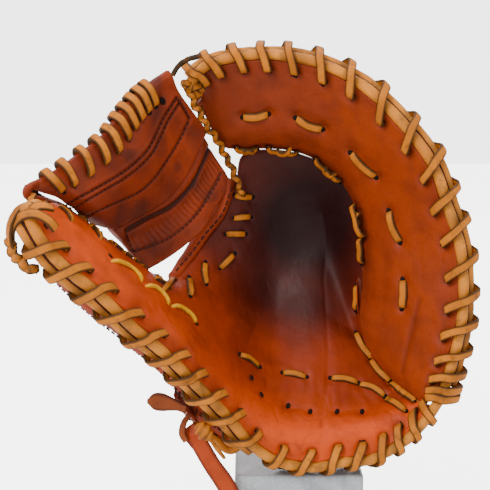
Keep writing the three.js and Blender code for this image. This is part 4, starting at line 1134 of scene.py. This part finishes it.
def back_shell(name, ribs, rows, columns, nodes, holes):
    net = Net(ribs)
    r, c = np.meshgrid(
        np.linspace(0, len(ribs) - 1, rows), np.linspace(0, ribs.shape[1] - 1, columns), indexing="ij")
    inside = net.at(r, c)
    share = c / (ribs.shape[1] - 1)
    puff = bumps(inside, BACK_BUMPS)
    crease = 1 - np.abs(noise(inside, 17.0) + noise(inside, 7.0) * 0.4)
    puff = puff * np.clip(share * 4, 0, 1) - np.clip(crease - 0.86, 0, 1) * 4.5
    folds = np.sin(r * 2.6 + noise(inside, 18.0) * 2) * 0.5 * np.exp(-((share - 0.45) / 0.2) ** 2)
    seam = -np.exp(-((share - 0.93) / 0.012) ** 2) * 0.7
    outside = outer_of(inside, BACK_WALL + puff * 0.6 + folds + seam)
    shade = np.clip(noise(inside, 24.0) * 0.8, 0, 0.5) + np.exp(-((share - 0.93) / 0.02) ** 2) * 0.5
    shade = np.maximum(shade, dent(inside, holes, 9.0) * 0.5)
    rings = np.concatenate([inside, outside[:, ::-1]], 1)
    marks = {"shade": np.concatenate([shade * 0.5 + 0.3, shade[:, ::-1]], 1)}
    make(name, rings, LEATHER_BACK, nodes, attributes=marks)
    return net


thumb_hole_points = PALM_HOLES[:len(THUMB_HOLES)]
thumb_net = back_shell(
    "thumb_back_leather", thumb_ribs, 150, 80, ["thumb_back"], thumb_hole_points)
finger_net = back_shell(
    "finger_back_leather", finger_ribs, 200, 90, ["finger_back"], CRESCENT_HOLES)

# Bindings
ROLL_STEP = 1.6


def roll(name, points, radius, nodes, crossings=None, material=BINDING, sides=14):
    """A leather roll, pinched where laces cross it."""
    path = dense(points, ROLL_STEP)
    size = radius + noise(path, 9.0) * 0.18
    if crossings is not None:
        size = size - np.exp(-(far_from(path, crossings) / 3.4) ** 2) * 0.35
    rings = tube_rings(path, size, sides)
    rings = rings + noise(rings, 3.5)[..., None] * 0.1 * unit(rings - path[:, None, :])
    edge = np.clip(noise(rings, 13.0) * 1.2 - 0.2, 0, 0.7)
    # Darker next to where the laces cross over the roll: painted shade; the rest of the edge layer is random
    # dark patches
    if crossings is not None:
        edge = np.maximum(edge, np.exp(-(far_from(rings, crossings) / 5.5) ** 2) * 0.85)
    return make(name, rings, material, nodes, {"edge": edge})


def hole_crossings(sheet, holes, depth, at=0.3):
    holes = np.array(holes)
    s = holes[:-1] * (1 - at) + holes[1:] * at
    return sheet.near(s, BINDING_OUT, depth)


def edge_path(sheet, low, high, out, depth):
    return sheet.near(np.linspace(low, high, 90), out, depth)


def round_tip(path, depth):
    """The roll's turn over the thumb's tip: along the palm's end edge, then down the rim."""
    points = []
    for t, out in ((0.5, -2.0), (0.4, 2.4), (0.26, 3.4), (0.12, 3.8)):
        at, back = palm.point(one(0.02), t), palm.back(one(0.1), one(t))
        ahead = unit(palm.point(one(0.0), t) - palm.point(one(0.15), t))
        points.append(at + ahead * out + back * depth)
    ahead = unit(path[0] - path[3])
    points.append(path[0] + ahead * 3.2 + unit(points[-1] - path[0]) * 2.2)
    return np.concatenate([curve(points + [path[2]], 30)[:-1], path[3:]])


def finger_end(path, depth):
    """The roll's turn over the crescent's tip."""
    points = [path[-3]]
    ahead = unit(path[-1] - path[-4])
    points.append(path[-1] + ahead * 3.0)
    for t, out in ((0.88, 3.6), (0.74, 3.0), (0.6, -1.5)):
        at, back = crescent.point(one(13.98), t), crescent.back(one(13.9), one(t))
        forward = unit(crescent.point(one(14.0), t) - crescent.point(one(13.85), t))
        points.append(at + forward * out + back * depth)
    return np.concatenate([path[:-3], curve(points, 26)])


heel_roll = round_tip(edge_path(palm, 0, palm.last, BINDING_OUT, FRONT_DEPTH), FRONT_DEPTH)
finger_roll = finger_end(edge_path(crescent, 0, crescent.last, BINDING_OUT, FRONT_DEPTH), FRONT_DEPTH)
heel_end = curve([heel_roll[-6], heel_roll[-2], finger_roll[3], finger_roll[8]], 14)
heel_roll = np.concatenate([heel_roll[:-6], heel_end])
palm_cross = np.concatenate([
    hole_crossings(palm, holes[::-1], FRONT_DEPTH) for holes in (THUMB_HOLES, HEEL_HOLES)
])
finger_cross = hole_crossings(crescent, FINGER_HOLES, FRONT_DEPTH)
roll("palm_binding_roll", heel_roll, BINDING_RADIUS, ["palm_binding"], palm_cross)
roll("finger_binding_roll", finger_roll, BINDING_RADIUS, ["finger_binding"], finger_cross)
THUMB_BACK_END, FINGER_BACK_START = 8.2, 1
back_roll = round_tip(edge_path(palm, 0, THUMB_BACK_END, BINDING_OUT, BACK_DEPTH), BACK_DEPTH)
roll("thumb_back_roll", back_roll, BINDING_RADIUS, ["thumb_back_binding"],
     hole_crossings(palm, THUMB_HOLES[::-1], BACK_DEPTH, 0.7))
back_roll = edge_path(crescent, FINGER_BACK_START, crescent.last, BINDING_OUT, BACK_DEPTH)
roll("finger_back_roll", back_roll, BINDING_RADIUS, ["finger_back_binding"],
     hole_crossings(crescent, FINGER_HOLES, BACK_DEPTH, 0.7))
MIDWAY = (FRONT_DEPTH + BACK_DEPTH) / 2
WELT_OUT, WELT_RADIUS, WELT_SIDES = BINDING_OUT + BINDING_RADIUS * 0.3, 1.3, 8
for name, sheet, start, end in (
    ("thumb_welt", palm, 0, THUMB_BACK_END),
    ("finger_welt", crescent, FINGER_BACK_START, crescent.last),
):
    path = edge_path(sheet, start, end, WELT_OUT, MIDWAY)
    roll(name, path, WELT_RADIUS, [], None, WELT, WELT_SIDES)

# Laces wound round the rims


def winding(name, sheet, holes, turn, nodes):
    points, looks = [], []
    for a, b in zip(holes[:-1], holes[1:]):
        for share, out, back, look_out, look_back in turn:
            s = one(a + (b - a) * share)
            _, away, behind = sheet.edge(s, sheet.rim_share)
            points.append(sheet.near(s, out, back))
            looks.append(away * look_out + behind * look_back)
    count = len(points) * 5
    path, look = curve(points, count), unit(curve(looks, count))
    width = LACE_WIDTH + noise(path, 11.0) * 0.7
    rings, edge = ribbon_rings(path, look, width, LACE_THICKNESS)
    return make(name, rings, RAWHIDE, nodes, attributes={"edge": edge})


winding("rim_lace_thumb_wound", palm, THUMB_HOLES[::-1], RIM_TURN, ["rim_lace_thumb"])
winding("rim_lace_heel_wound", palm, [14.97] + HEEL_HOLES[::-1] + [8.5], HEEL_TURN, ["rim_lace_heel"])
winding("rim_lace_finger_wound", crescent, [0.05] + FINGER_HOLES + [13.8], RIM_TURN, ["rim_lace_finger"])
winding("web_bar_lace_wound", web_bar, BAR_HOLES, BAR_TURN, ["web_bar_lace"])


def disc(name, centres, normals, ways, long, short, depth=0.5):
    """Dark ovals lying on the leather where the holes are: painted shade of the holes' insides."""
    points, faces = [], []
    for centre, normal, way in zip(centres, normals, ways):
        way = unit(way - normal * np.dot(way, normal))
        side = np.cross(normal, way)
        first = len(points)
        points.append(centre - normal * depth)
        for k in range(12):
            a = k / 12 * 2 * math.pi
            points.append(centre + way * math.cos(a) * long + side * math.sin(a) * short + normal * 0.12)
        points.append(centre - normal * (depth + 1.2))
        for k in range(12):
            a, b = first + 1 + k, first + 1 + (k + 1) % 12
            faces += [[first, a, b], [first + 13, b, a]]
    return mesh_of(name, np.array(points), faces, HOLE_SHADE)


def rim_holes(sheet, holes, inset):
    s = np.array(holes)
    front = sheet.near(s, -inset, 0)
    _, out, back = sheet.edge(s, sheet.rim_share)
    return front, -back, out


for name, sheet, holes, inset, lift, long, short in (
    ("palm_rim_holes", palm, THUMB_HOLES + HEEL_HOLES, LACE_INSET + 1.2, 1.3, 3.6, 2.5),
    ("finger_rim_holes", crescent, FINGER_HOLES, LACE_INSET + 1.2, 1.3, 3.6, 2.5),
    ("web_bar_holes", web_bar, BAR_HOLES, BAR_INSET + 1, 0.8, 2.6, 2.2),
):
    centres, looks, ways = rim_holes(sheet, holes, inset)
    disc(name, centres - looks * lift, looks, ways, long, short)


def stitches(name, runs, width, thickness, lift, material=RAWHIDE, sink=2.0):
    """Short laces that come up through one hole, lie on the leather and go down through the next."""
    all_rings, all_edges = [], []
    for line, normal in runs:
        count = 22
        path, look = curve(line, count), unit(curve(normal, count))
        f = np.linspace(0, 1, count)
        plunge = np.clip(1 - f / 0.14, 0, 1) ** 1.6 + np.clip(1 - (1 - f) / 0.14, 0, 1) ** 1.6
        rise = lift - (lift + sink) * plunge
        bow = np.sin(f * math.pi) * 0.5
        path = path + look * (rise + bow)[:, None]
        rings, edge = ribbon_rings(path, look, width * (1 - 0.22 * np.abs(2 * f - 1) ** 4), thickness)
        all_rings.append(rings)
        all_edges.append(edge)
    return joined(name, all_rings, material, all_edges)


def run_holes(name, runs, long, short, lift):
    centres, normals, ways = [], [], []
    for line, normal in runs:
        for at, step in ((0, 1), (-1, -2)):
            centres.append(line[at] + normal[at] * lift)
            normals.append(normal[at])
            ways.append(line[step] - line[at])
    return disc(name, centres, normals, ways, long, short, -0.1)


def steadied(run, nearer):
    """A stitch over an uneven edge, pulled straight in depth and a little towards the camera."""
    line, normal = run
    away = (line - EYE) @ FORWARD
    share = np.linspace(0, 1, len(line))
    even = np.polyval(np.polyfit(share, away, 1), share) - nearer
    return EYE + (line - EYE) * (even / away)[:, None], np.tile(unit(normal.mean(axis=0)), (len(line), 1))


EDGE_STITCH_LIFT = 1.6
palm_inner, palm_edge = palm_runs[:len(PALM_STITCHES)], palm_runs[len(PALM_STITCHES):]
palm_edge = [steadied(run, EDGE_STITCH_LIFT) for run in palm_edge]
crescent_inner = crescent_runs[:len(CRESCENT_STITCHES)]
crescent_edge = crescent_runs[len(CRESCENT_STITCHES):]
# Widths and thicknesses as shares of the lace's
for name, runs, wide, thick, lift, sink in (
    ("finger_pad_stitches", crescent_inner, 1.05, 1.2, 0.5, 2.0),
    ("crescent_edge_stitches", crescent_edge, 0.85, 1, 1.0, 2.0),
    ("crossing_stitches", cross_runs, 0.7, 1, 2.6, 3.0),
    ("palm_stitches", palm_inner + palm_edge, 0.85, 1.1, 0.5, 2.0),
):
    stitches(name, runs, LACE_WIDTH * wide, LACE_THICKNESS * thick, lift, sink=sink)
stitches("yellow_stitches", yellow_runs, 2.6, 2.4, 0.8, THREAD_YELLOW)
for name, runs, long, short, lift in (
    ("finger_pad_stitch_holes", crescent_inner, 2.5, 1.8, 0.6),
    ("crescent_edge_holes", crescent_edge, 2.2, 1.6, -0.5),
    ("palm_stitch_holes", palm_inner, 2.2, 1.6, 0.6),
    ("palm_edge_holes", palm_edge, 2.2, 1.6, -0.5),
):
    run_holes(name, runs, long, short, lift)
for name, spots, lift, way, long, short in (
    ("bare_holes", bare, 0.75, [0.3, 0, 1.0], 2.2, 1.5),
    ("yellow_holes", yellow_bare, 0.5, [1.0, 0, -1.0], 2.0, 1.1),
):
    centres, looks = [p + n * lift for p, n in spots], [n for _, n in spots]
    disc(name, centres, looks, [np.array(way)] * len(spots), long, short, -0.1)


def running(name, line, lift, length=2.3, gap=1.5, radius=0.42, look=(0.0, -1.0, 0.2),
            material=THREAD_DARK):
    """A row of small machine stitches along a line."""
    path = dense(line, 0.35)
    way = travelled(path)
    sets, at = [], 0.0
    while at + length < way[-1]:
        part = at_length(path, way, np.linspace(at, at + length, 5))
        sag = np.sin(np.linspace(0, 1, 5) * math.pi) * 0.5 - 0.4
        part = part + unit(np.asarray(look))[None, :] * (lift + sag)[:, None]
        sets.append(tube_rings(part, radius, 6))
        at += length + gap
    return joined(name, sets, material)


for number, line in enumerate(bar_lines):
    running(f"bar_seam_{number}", line, 0.3)
for number, line in enumerate(panel_lines):
    running(f"panel_seam_{number}", line, 0.3)

# The palm's roll along the web, and the laces along the web
ROLL_SIZE, ROLL_DEPTH = 5.0, 2.5
roll_path = palm.beside(np.linspace(4.4, 8, 60), 1, ROLL_SIZE + CLEARANCE, ROLL_DEPTH)
roll(
    "palm_web_roll_leather", roll_path, ROLL_SIZE, ["palm_web_roll"],
    material=LEATHER_WEB, sides=20,
)
roll_seam = palm.beside(np.linspace(4.5, 7.9, 50), 1, ROLL_SIZE + CLEARANCE - 1.5, ROLL_DEPTH - ROLL_SIZE)
running("palm_roll_seam", roll_seam, 0.25, 3.4, 1.8, 0.6)


def knotted(name, points, thick, nodes, dark, sides=10):
    """A lace drawn up in twisted lumps where it is thick."""
    count = len(points) * 9
    path = curve(points, count)
    size = np.maximum(spread(thick, count), 0.35) * LACE_WIDTH / 2
    lumps = np.clip(size - LACE_WIDTH * 0.32, 0, None)
    rings = tube_rings(path, size, sides, squash=0.82)
    away = unit(rings - path[:, None, :])
    turn = np.arange(sides) / sides * 2 * math.pi
    twist = np.sin(turn[None, :] * 2 + np.linspace(0, count * 0.7, count)[:, None])
    rings = rings + away * (noise(rings, 2.6) * 0.22 + twist * lumps[:, None] * 0.35)[..., None]
    # The lumps' crests are painted lighter and the hollows between them darker: painted light and shade
    edge = np.clip(dark + noise(rings, 5.0) * 0.5 - twist * 0.25 * (lumps[:, None] > 0), 0, 1)
    return make(name, rings, RAWHIDE, nodes, attributes={"edge": edge})


def chain(name, points, nodes, step=5.4, width=4.6):
    """A lace worked in tight crossing turns: tan turns over a dark core, whose dark colour is painted shade
    between the turns.
    """
    path = dense(points, 0.8)
    length = travelled(path)
    core = tube_rings(path, 1.5 + noise(path, 3.0) * 0.2, 12)
    sets, edges = [core], [np.full(core.shape[:2], 0.95)]
    look = np.array([0.0, -1.0, 0.15])
    for number, at in enumerate(np.arange(1.5, length[-1] - 1.5, step)):
        middle = at_length(path, length, at)
        ahead = at_length(path, length, at + 1.5) - middle
        across = unit(np.cross(unit(ahead), look))
        way = unit(unit(ahead) * 0.85 + across * (0.55 if number % 2 else -0.55))
        f = np.linspace(-1, 1, 11)
        half = 3.4 + noise(middle, 5.0) * 0.5
        turn = middle + way * (f * half)[:, None] + unit(look) * (1.7 - 2.6 * np.abs(f) ** 2.5)[:, None]
        rings, edge = ribbon_rings(turn, np.tile(look, (11, 1)), width * (1 - 0.25 * f**2), 2.0)
        sets.append(rings)
        edges.append(np.clip(edge + 0.38 + noise(rings, 2.5) * 0.6, 0, 1))
    return joined(name, sets, RAWHIDE, edges, nodes)


chain("web_lace_thumb_run", palm.beside(np.linspace(0.3, 3.9, 24), 1, 3, 2.2), ["web_lace_thumb"], 7.5, 4.2)
chain("web_lace_finger_run", curve([place(row["at"]) for row in FINGER_EDGE_LACE], 60), ["web_lace_finger"])
for name, rows, node, dark in (
    ("finger_tip_tie", FINGER_TIP_LACE, "finger_tip_lace", 0.9),
    ("strap_knot_tie", STRAP_KNOT, "strap_knot", 0.35),
):
    knotted(name, [place(row["at"]) for row in rows], [row["thick"] for row in rows], [node], dark)


def at_depth(pixel, y):
    """The point of a pixel's sight line at a depth."""
    way = sight(pixel)
    return EYE + way * ((y - EYE[1]) / way[1])


def flat_laces(name, paths, looks, widths, nodes=()):
    """Short flat laces along their paths, as one piece."""
    made = [ribbon_rings(*lace, LACE_THICKNESS) for lace in zip(paths, looks, widths)]
    joined(name, [rings for rings, _ in made], RAWHIDE, [edge for _, edge in made], nodes)


# Turns over the thumb's tip, as pixels and depths behind the front of the rolls
TIP_FRONT = palm.near(one(0.1), BINDING_OUT, OVER_FRONT)[1] - 0.6
TIP_TURNS = [
    [(56, 229, 2.5), (49, 221, 0.5), (36, 214, -0.6), (22, 216, 0.5), (13, 227, 4), (12, 240, 9)],
    [(30, 203, 12), (20, 208, 6), (12, 219, 3), (9, 232, 4), (11, 245, 6), (18, 256, 5)],
    [(52, 208, 9), (44, 206, 5), (36, 207, 3), (30, 214, 2), (27, 222, 2.5)],
]
TIP_BRAID = [(10, 240, 7), (13, 252, 5), (21, 262, 4), (30, 268, 4), (38, 272, 5)]


def tip_path(stops, count):
    return curve([at_depth(stop[:2], TIP_FRONT + stop[2]) for stop in stops], count)


paths = [tip_path(turns, len(turns) * 7) for turns in TIP_TURNS]
looks = [unit(path - palm.near(one(0.3), 0, MIDWAY) + np.array([0, -6.0, 0])) for path in paths]
widths = [LACE_WIDTH + noise(path, 9.0) * 0.6 for path in paths]
flat_laces("thumb_tip_turns", paths, looks, widths, ["thumb_tip_lace"])
chain("thumb_tip_braid", [at_depth(stop[:2], TIP_FRONT + stop[2]) for stop in TIP_BRAID], [], 5.2, 6.4)

# The bar's end: its leather rolled over to a rim, above a dark sheet of painted shade in the hollow
end_top, end_low = web_bar.point(one(0.0), 0)[1], web_bar.point(one(0.0), 1)[1]
RIM_LEFT, RIM_SPAN = 27, 45
RIM_PIXELS = [(44, 183), (34, 185), (27, 190), (28, 196), (37, 199), (49, 202), (60, 206), (70, 213)]
HOLLOW_PIXELS = [(31, 193), (39, 199), (49, 204), (60, 210)]


def end_depth(pixel):
    return end_top + (end_low - end_top) * min(max((pixel[0] - RIM_LEFT) / RIM_SPAN, 0), 1)


def facing(count):
    """The way to the camera's side, for each point of a path."""
    return np.tile([0.0, -1.0, 0.0], (count, 1))


rim_line = curve([at_depth(p, end_depth(p) - 2.0) for p in RIM_PIXELS], 60)
rim_rings = tube_rings(rim_line, 2.5 + noise(rim_line, 8.0) * 0.3, 16)
rim_shade = np.clip(noise(rim_rings, 7.0), 0, 0.4)
make("bar_end_rim", rim_rings, LEATHER_WEB, attributes={"shade": rim_shade})
# A dark sheet of painted shade where the hollow is
hollow_line = curve([at_depth(p, end_depth(p) + 2.5) for p in HOLLOW_PIXELS], 24)
hollow_rings, _ = ribbon_rings(hollow_line, facing(24), 7.0, 1.6)
hollow_shade = np.full(hollow_rings.shape[:2], 0.9)
make("bar_end_hollow_shade", hollow_rings, LEATHER_DARK, attributes={"shade": hollow_shade})
LINK_TURNS = [[(33, 194), (31, 200), (33, 209)], [(44, 203), (47, 209), (50, 217)]]
LINK_DEPTHS = (0.0, -4.0, -3.0)
paths = [curve([at_depth(p, end_top + d) for p, d in zip(line, LINK_DEPTHS)], 12) for line in LINK_TURNS]
flat_laces("bar_end_laces", paths, [facing(12)] * 2, [LACE_WIDTH * 0.8] * 2)
TIP_KNOT = [
    [(186, 92), (193, 88), (201, 85)], [(184, 84), (190, 90), (199, 96)], [(188, 80), (195, 82), (203, 92)],
]
KNOT_DEPTHS = (3.0, 0.0, 3.0)
knot_front = finger_roll[-14][1] - 5.0
paths = [
    curve([at_depth(p, knot_front + d + number * 1.2) for p, d in zip(line, KNOT_DEPTHS)], 14)
    for number, line in enumerate(TIP_KNOT)
]
flat_laces("finger_tip_knot", paths, [facing(14)] * 3, [LACE_WIDTH * 0.85] * 3)

# Crossed turns of lace over the thumb's inner edge and beside the palm's roll
INNER_TIES = [
    [(58, 206), (66, 213), (72, 222)], [(90, 224), (96, 232), (101, 240)],
    [(111, 236), (119, 243), (126, 252)], [(126, 246), (133, 254), (141, 262)],
]
ROLL_TIES = [[(154, 278), (163, 284), (171, 290)], [(160, 293), (168, 285), (176, 279)]]
stitches("inner_edge_ties", hits(INNER_TIES, "palm"), LACE_WIDTH * 0.62, LACE_THICKNESS, 0.9, sink=3.0)
stitches("roll_end_ties", hits(ROLL_TIES, "palm"), LACE_WIDTH * 0.7, LACE_THICKNESS, 1.2, sink=3.0)

# Wrist hems
WRIST_ROLL_RADIUS = 2.6
HEM_START, FAR_COLUMN, HEM_INSET = 3, 6, 0.3
CORNER_STEPS, EDGE_STEPS = 14, 60
UPWARD_LOOK = (0, 0, 1)
WRIST_ROLL_SEAT = WRIST_ROLL_RADIUS + BACK_WALL * 0.75
thumb_outer, finger_outer = outer_of(thumb_ribs, BACK_WALL), outer_of(finger_ribs, BACK_WALL)


def snug(shell_net, wall_net, end_row, to_row):
    """The hem's path: close round the shell's own corner and far edge."""
    rows = [end_row] * CORNER_STEPS + list(np.linspace(end_row, to_row, EDGE_STEPS))
    columns = list(np.linspace(HEM_START, FAR_COLUMN, CORNER_STEPS + 1))[:-1] + [FAR_COLUMN] * EDGE_STEPS
    middle = (shell_net.at(rows, columns) + wall_net.at(rows, columns)) / 2
    inner_row = end_row + (HEM_INSET if end_row == 0 else -HEM_INSET)
    inner = np.concatenate([
        shell_net.at([inner_row] * CORNER_STEPS, columns[:CORNER_STEPS]),
        shell_net.at(rows[CORNER_STEPS:], [FAR_COLUMN - HEM_INSET] * EDGE_STEPS),
    ])
    ahead = unit(np.gradient(middle, axis=0))
    away = middle - inner
    away = unit(away - ahead * dot(away, ahead))
    path = middle + away * (WRIST_ROLL_RADIUS + 0.6)
    return eased(path, 4)


THUMB_RIBS, FINGER_RIBS = len(thumb_ribs) - 1, len(finger_ribs) - 1
thumb_hem = snug(thumb_net, Net(thumb_outer), THUMB_RIBS, 7)
finger_hem = snug(finger_net, Net(finger_outer), 0, 9)
roll("thumb_wrist_roll", thumb_hem, WRIST_ROLL_RADIUS, ["thumb_wrist_binding"])
roll("finger_wrist_roll", finger_hem, WRIST_ROLL_RADIUS, ["finger_wrist_binding"])


def shell_seam(name, net, rows, column, lift=0.3):
    r, c = np.linspace(1, rows - 1, 60), np.full(60, column)
    across = net.at(r, c + 0.05) - net.at(r, c - 0.05)
    along = net.at(r + 0.05, c) - net.at(r - 0.05, c)
    path = net.at(r, c) + unit(np.cross(across, along)) * (BACK_WALL + lift)
    running(name, path, 0, 2.8, 1.6, 0.5, UPWARD_LOOK)


SEAM_COLUMNS = {"edge": 5.6, "panel": 2.6, "second": 2.9}
for name, shell_net, rows in (
    ("thumb_back", thumb_net, THUMB_RIBS),
    ("finger_back", finger_net, FINGER_RIBS),
):
    for seam, column in SEAM_COLUMNS.items():
        shell_seam(f"{name}_{seam}_seam", shell_net, rows, column)

# Wrist strap, tail, tongue and loop
STRAP_LIFT = 3.2
STRAP_OVER_HEM, STRAP_BEYOND_HEM = WRIST_ROLL_RADIUS + STRAP_THICKNESS * 2.5, WRIST_ROLL_SEAT * 2.5


def onto(inside, outside, row, column):
    j = min(column, inside.shape[1] - 1)
    look = unit(outside[row, j] - inside[row, j])
    at = outside[row, j].copy()
    if column > j:
        at += unit(outside[row, j] - outside[row, j - 1]) * STRAP_BEYOND_HEM
    return at + look * (STRAP_LIFT if column < 5 else STRAP_OVER_HEM), look


THUMB_ROW, FINGER_ROW, STRAP_COLUMNS = 12, 4, [3, 4, 5, 6, 7]
strap_stops = [onto(thumb_ribs, thumb_outer, THUMB_ROW, j) for j in STRAP_COLUMNS]
strap_stops += [onto(finger_ribs, finger_outer, FINGER_ROW, j) for j in STRAP_COLUMNS[::-1]]


def strap(name, points, looks, wide, nodes, material, seam=True):
    """A flat strap along its stops, with a seam beside each edge."""
    count = len(points) * 10
    path, look = curve(points, count), unit(curve(looks, count))
    if seam:
        path = eased(path, 12)
        for _ in range(12):
            look[1:-1] = unit(look[:-2] + look[1:-1] * 2 + look[2:])
    width = STRAP_WIDTH * np.maximum(spread(wide, count), 0.08)
    fine_rings, edge = ribbon_rings(path, look, width, STRAP_THICKNESS, 0.3)
    make(name, fine_rings, material, nodes, attributes={"shade": edge * 0.8})
    if seam:
        _, side, up = along_frames(path, look)
        for way in (-1, 1):
            line = path + side * (way * (width / 2 - 1.8))[:, None] + up * (STRAP_THICKNESS / 2 + 0.15)
            running(f"{name}_seam_{(way + 1) // 2}", line[3:-3], 0, 2.6, 1.5, 0.4, UPWARD_LOOK)


strap("wrist_strap_leather", [p for p, _ in strap_stops], [n for _, n in strap_stops], [1] * 10,
      ["wrist_strap"], LEATHER_STRAP)
for name, rows, node, slot, material in (
    ("strap_tail_leather", STRAP_TAIL, "strap_tail", "strap_leather", LEATHER_STRAP),
    ("strap_tongue_leather", STRAP_TONGUE, "strap_tongue", "dark_leather", LEATHER_TONGUE),
    ("strap_loop_leather", STRAP_LOOP, "strap_loop", "dark_leather", LEATHER_TONGUE),
):
    points, wide = [place(row["at"]) for row in rows], [row["wide"] for row in rows]
    strap(name, points, [(0, -1, 0)] * len(rows), wide, [node], material, seam=False)

# Heel lining
LINING_DEPTH = FRONT_DEPTH + AROUND + LACE_REACH + CLEARANCE
LINING_START, LINING_END, LINING_RUN, LINING_FOLD = 8.95, 12.6, 14, 2.5
lining = []
for i, s in enumerate(np.linspace(LINING_START, LINING_END, 13)):
    at = palm.near(one(s), 0, LINING_DEPTH)
    low_y = palm.near(one(s), 0, 0)[1] + LINING_RUN + (i % 2) * LINING_FOLD
    low_z = STAND_HEIGHT + CLEARANCE + ((i + 1) % 2) * LINING_FOLD
    upper = [palm.near(one(s), out, LINING_DEPTH) for out in (-2, -12)]
    lining.append([np.array([at[0], low_y, low_z]), *upper])
lining_net = Net(np.array(lining))
r, c = np.meshgrid(np.linspace(0, 12, 160), np.linspace(0, 2, 34), indexing="ij")
inner_face = lining_net.at(r, c)
crumple = noise(inner_face, 7.0) * 0.9 + noise(inner_face, 3.0) * 0.3
inner_face[..., 2] = np.maximum(inner_face[..., 2], STAND_HEIGHT + CLEARANCE)
outer_face = outer_of(inner_face, LINING_WALL + crumple * 0.5)
outer_face[..., 2] = np.maximum(outer_face[..., 2], STAND_HEIGHT + CLEARANCE)
lining_rings = np.concatenate([inner_face, outer_face[:, ::-1]], 1)
marks = {
    "shade": np.clip(noise(lining_rings, 6.0), 0, 0.8),
    "darkening": np.clip(noise(lining_rings, 9.0) - 0.2, 0, 0.5),
}
make("heel_lining_leather", lining_rings, LEATHER_DARK, ["heel_lining"], marks)
lining_line = lining_net.at(np.linspace(0.3, 11.7, 60), np.full(60, 0.3))
running("lining_seam", lining_line, 2.4, 2.8, 1.8, 0.5, (0, -1, 0.3), THREAD_YELLOW)

# Stand
BEVEL, FOOT_CHAMFER, CORNER_STEP = 2.5, 0.8, 15
half_x, half_y = STAND_WIDTH / 2 - BEVEL, STAND_DEPTH / 2 - BEVEL
outline = []
for cx, cy, start in ((1, 1, 0), (-1, 1, 90), (-1, -1, 180), (1, -1, 270)):
    for k in range(7):
        a = math.radians(start + k * CORNER_STEP)
        nx, ny = math.cos(a), math.sin(a)
        outline.append((cx * half_x + nx * BEVEL, cy * half_y + ny * BEVEL, nx, ny))
levels = [(0, FOOT_CHAMFER), (FOOT_CHAMFER, 0)] + [(z, 0) for z in np.linspace(6, STAND_HEIGHT - 6, 6)]
for a in np.linspace(0, math.pi / 2, 5):
    levels.append((STAND_HEIGHT - BEVEL * (1 - math.sin(a)), BEVEL * (1 - math.cos(a))))
block = np.array([[(x - nx * inset, y - ny * inset, z) for x, y, nx, ny in outline] for z, inset in levels])
points, faces = block.reshape(-1, 3), []
m, n = len(outline), len(levels)
for i in range(n - 1):
    for j in range(m):
        k = (j + 1) % m
        faces += [[i * m + j, i * m + k, (i + 1) * m + k, (i + 1) * m + j]]
points = np.concatenate([points, [[0, 0, 0], [0, 0, STAND_HEIGHT]]])
for j in range(m):
    k = (j + 1) % m
    faces += [[n * m, k, j], [n * m + 1, (n - 1) * m + j, (n - 1) * m + k]]
stand = mesh_of("stand_block", points, faces, STAND_LOOK, ["stand"])
for polygon in stand.data.polygons:
    polygon.use_smooth = abs(polygon.normal.z) < 0.99
stand.data.set_sharp_from_angle(angle=math.radians(40))

# Floor, light and world
FLOOR_HALF = 3
WORLD_LIGHT, SKY_SEEN, FLOOR_SEEN = 1.4, 4.0, 4.0
BACKDROP = (0.96, 0.96, 0.95, 1)
LAMPS = table("name at aim size power colour", [
    ("key", (-0.85, -0.95, 1.25), (-0.02, 0, 0.2), 0.7, 27, (1, 0.98, 0.95)),
    ("fill", (1.3, -1.0, 0.7), (0, 0, 0.2), 1.2, 3, (1, 1, 1)),
    ("top", (0.1, 0.3, 1.6), (0, 0, 0.1), 1.0, 9, (1, 1, 1)),
    ("rear", (0.2, 1.3, 0.9), (0, 0, 0.2), 1.2, 9, (1, 1, 1)),
])
floor_mesh = bpy.data.meshes.new("floor")
floor_corners = [(x * FLOOR_HALF, y * FLOOR_HALF, 0) for x, y in ((-1, -1), (1, -1), (1, 1), (-1, 1))]
floor_mesh.from_pydata(floor_corners, [], [[0, 1, 2, 3]])
floor_mesh.materials.append(pale("floor_pale", (0.86, 0.86, 0.85)))
floor = bpy.data.objects.new("floor", floor_mesh)
bpy.context.scene.collection.objects.link(floor)
for row in LAMPS:
    data = bpy.data.lights.new(row["name"], "AREA")
    data.shape, data.size, data.energy, data.color = "DISK", row["size"], row["power"], row["colour"]
    light = bpy.data.objects.new(row["name"], data)
    bpy.context.scene.collection.objects.link(light)
    light.location = row["at"]
    light.rotation_euler = (Vector(row["aim"]) - Vector(row["at"])).to_track_quat("-Z", "Y").to_euler()


def seen_only(tree, extra, base=0.0):
    """A strength that is the base for the light, with the extra for what the camera sees directly."""
    rays = tree.nodes.new("ShaderNodeLightPath")
    total = tree.nodes.new("ShaderNodeMath")
    total.operation = "MULTIPLY_ADD"
    tree.links.new(rays.outputs["Is Camera Ray"], total.inputs[0])
    total.inputs[1].default_value = extra
    total.inputs[2].default_value = base
    return total.outputs[0]


world = bpy.data.worlds.new("world")
bpy.context.scene.world = world
world.use_nodes = True
background = world.node_tree.nodes["Background"]
background.inputs["Color"].default_value = BACKDROP
sky = seen_only(world.node_tree, SKY_SEEN - WORLD_LIGHT, WORLD_LIGHT)
world.node_tree.links.new(sky, background.inputs["Strength"])
floor_tree = floor_mesh.materials[0].node_tree
floor_shader = next(node for node in floor_tree.nodes if node.type == "BSDF_PRINCIPLED")
floor_shader.inputs["Emission Color"].default_value = BACKDROP
floor_tree.links.new(seen_only(floor_tree, FLOOR_SEEN), floor_shader.inputs["Emission Strength"])
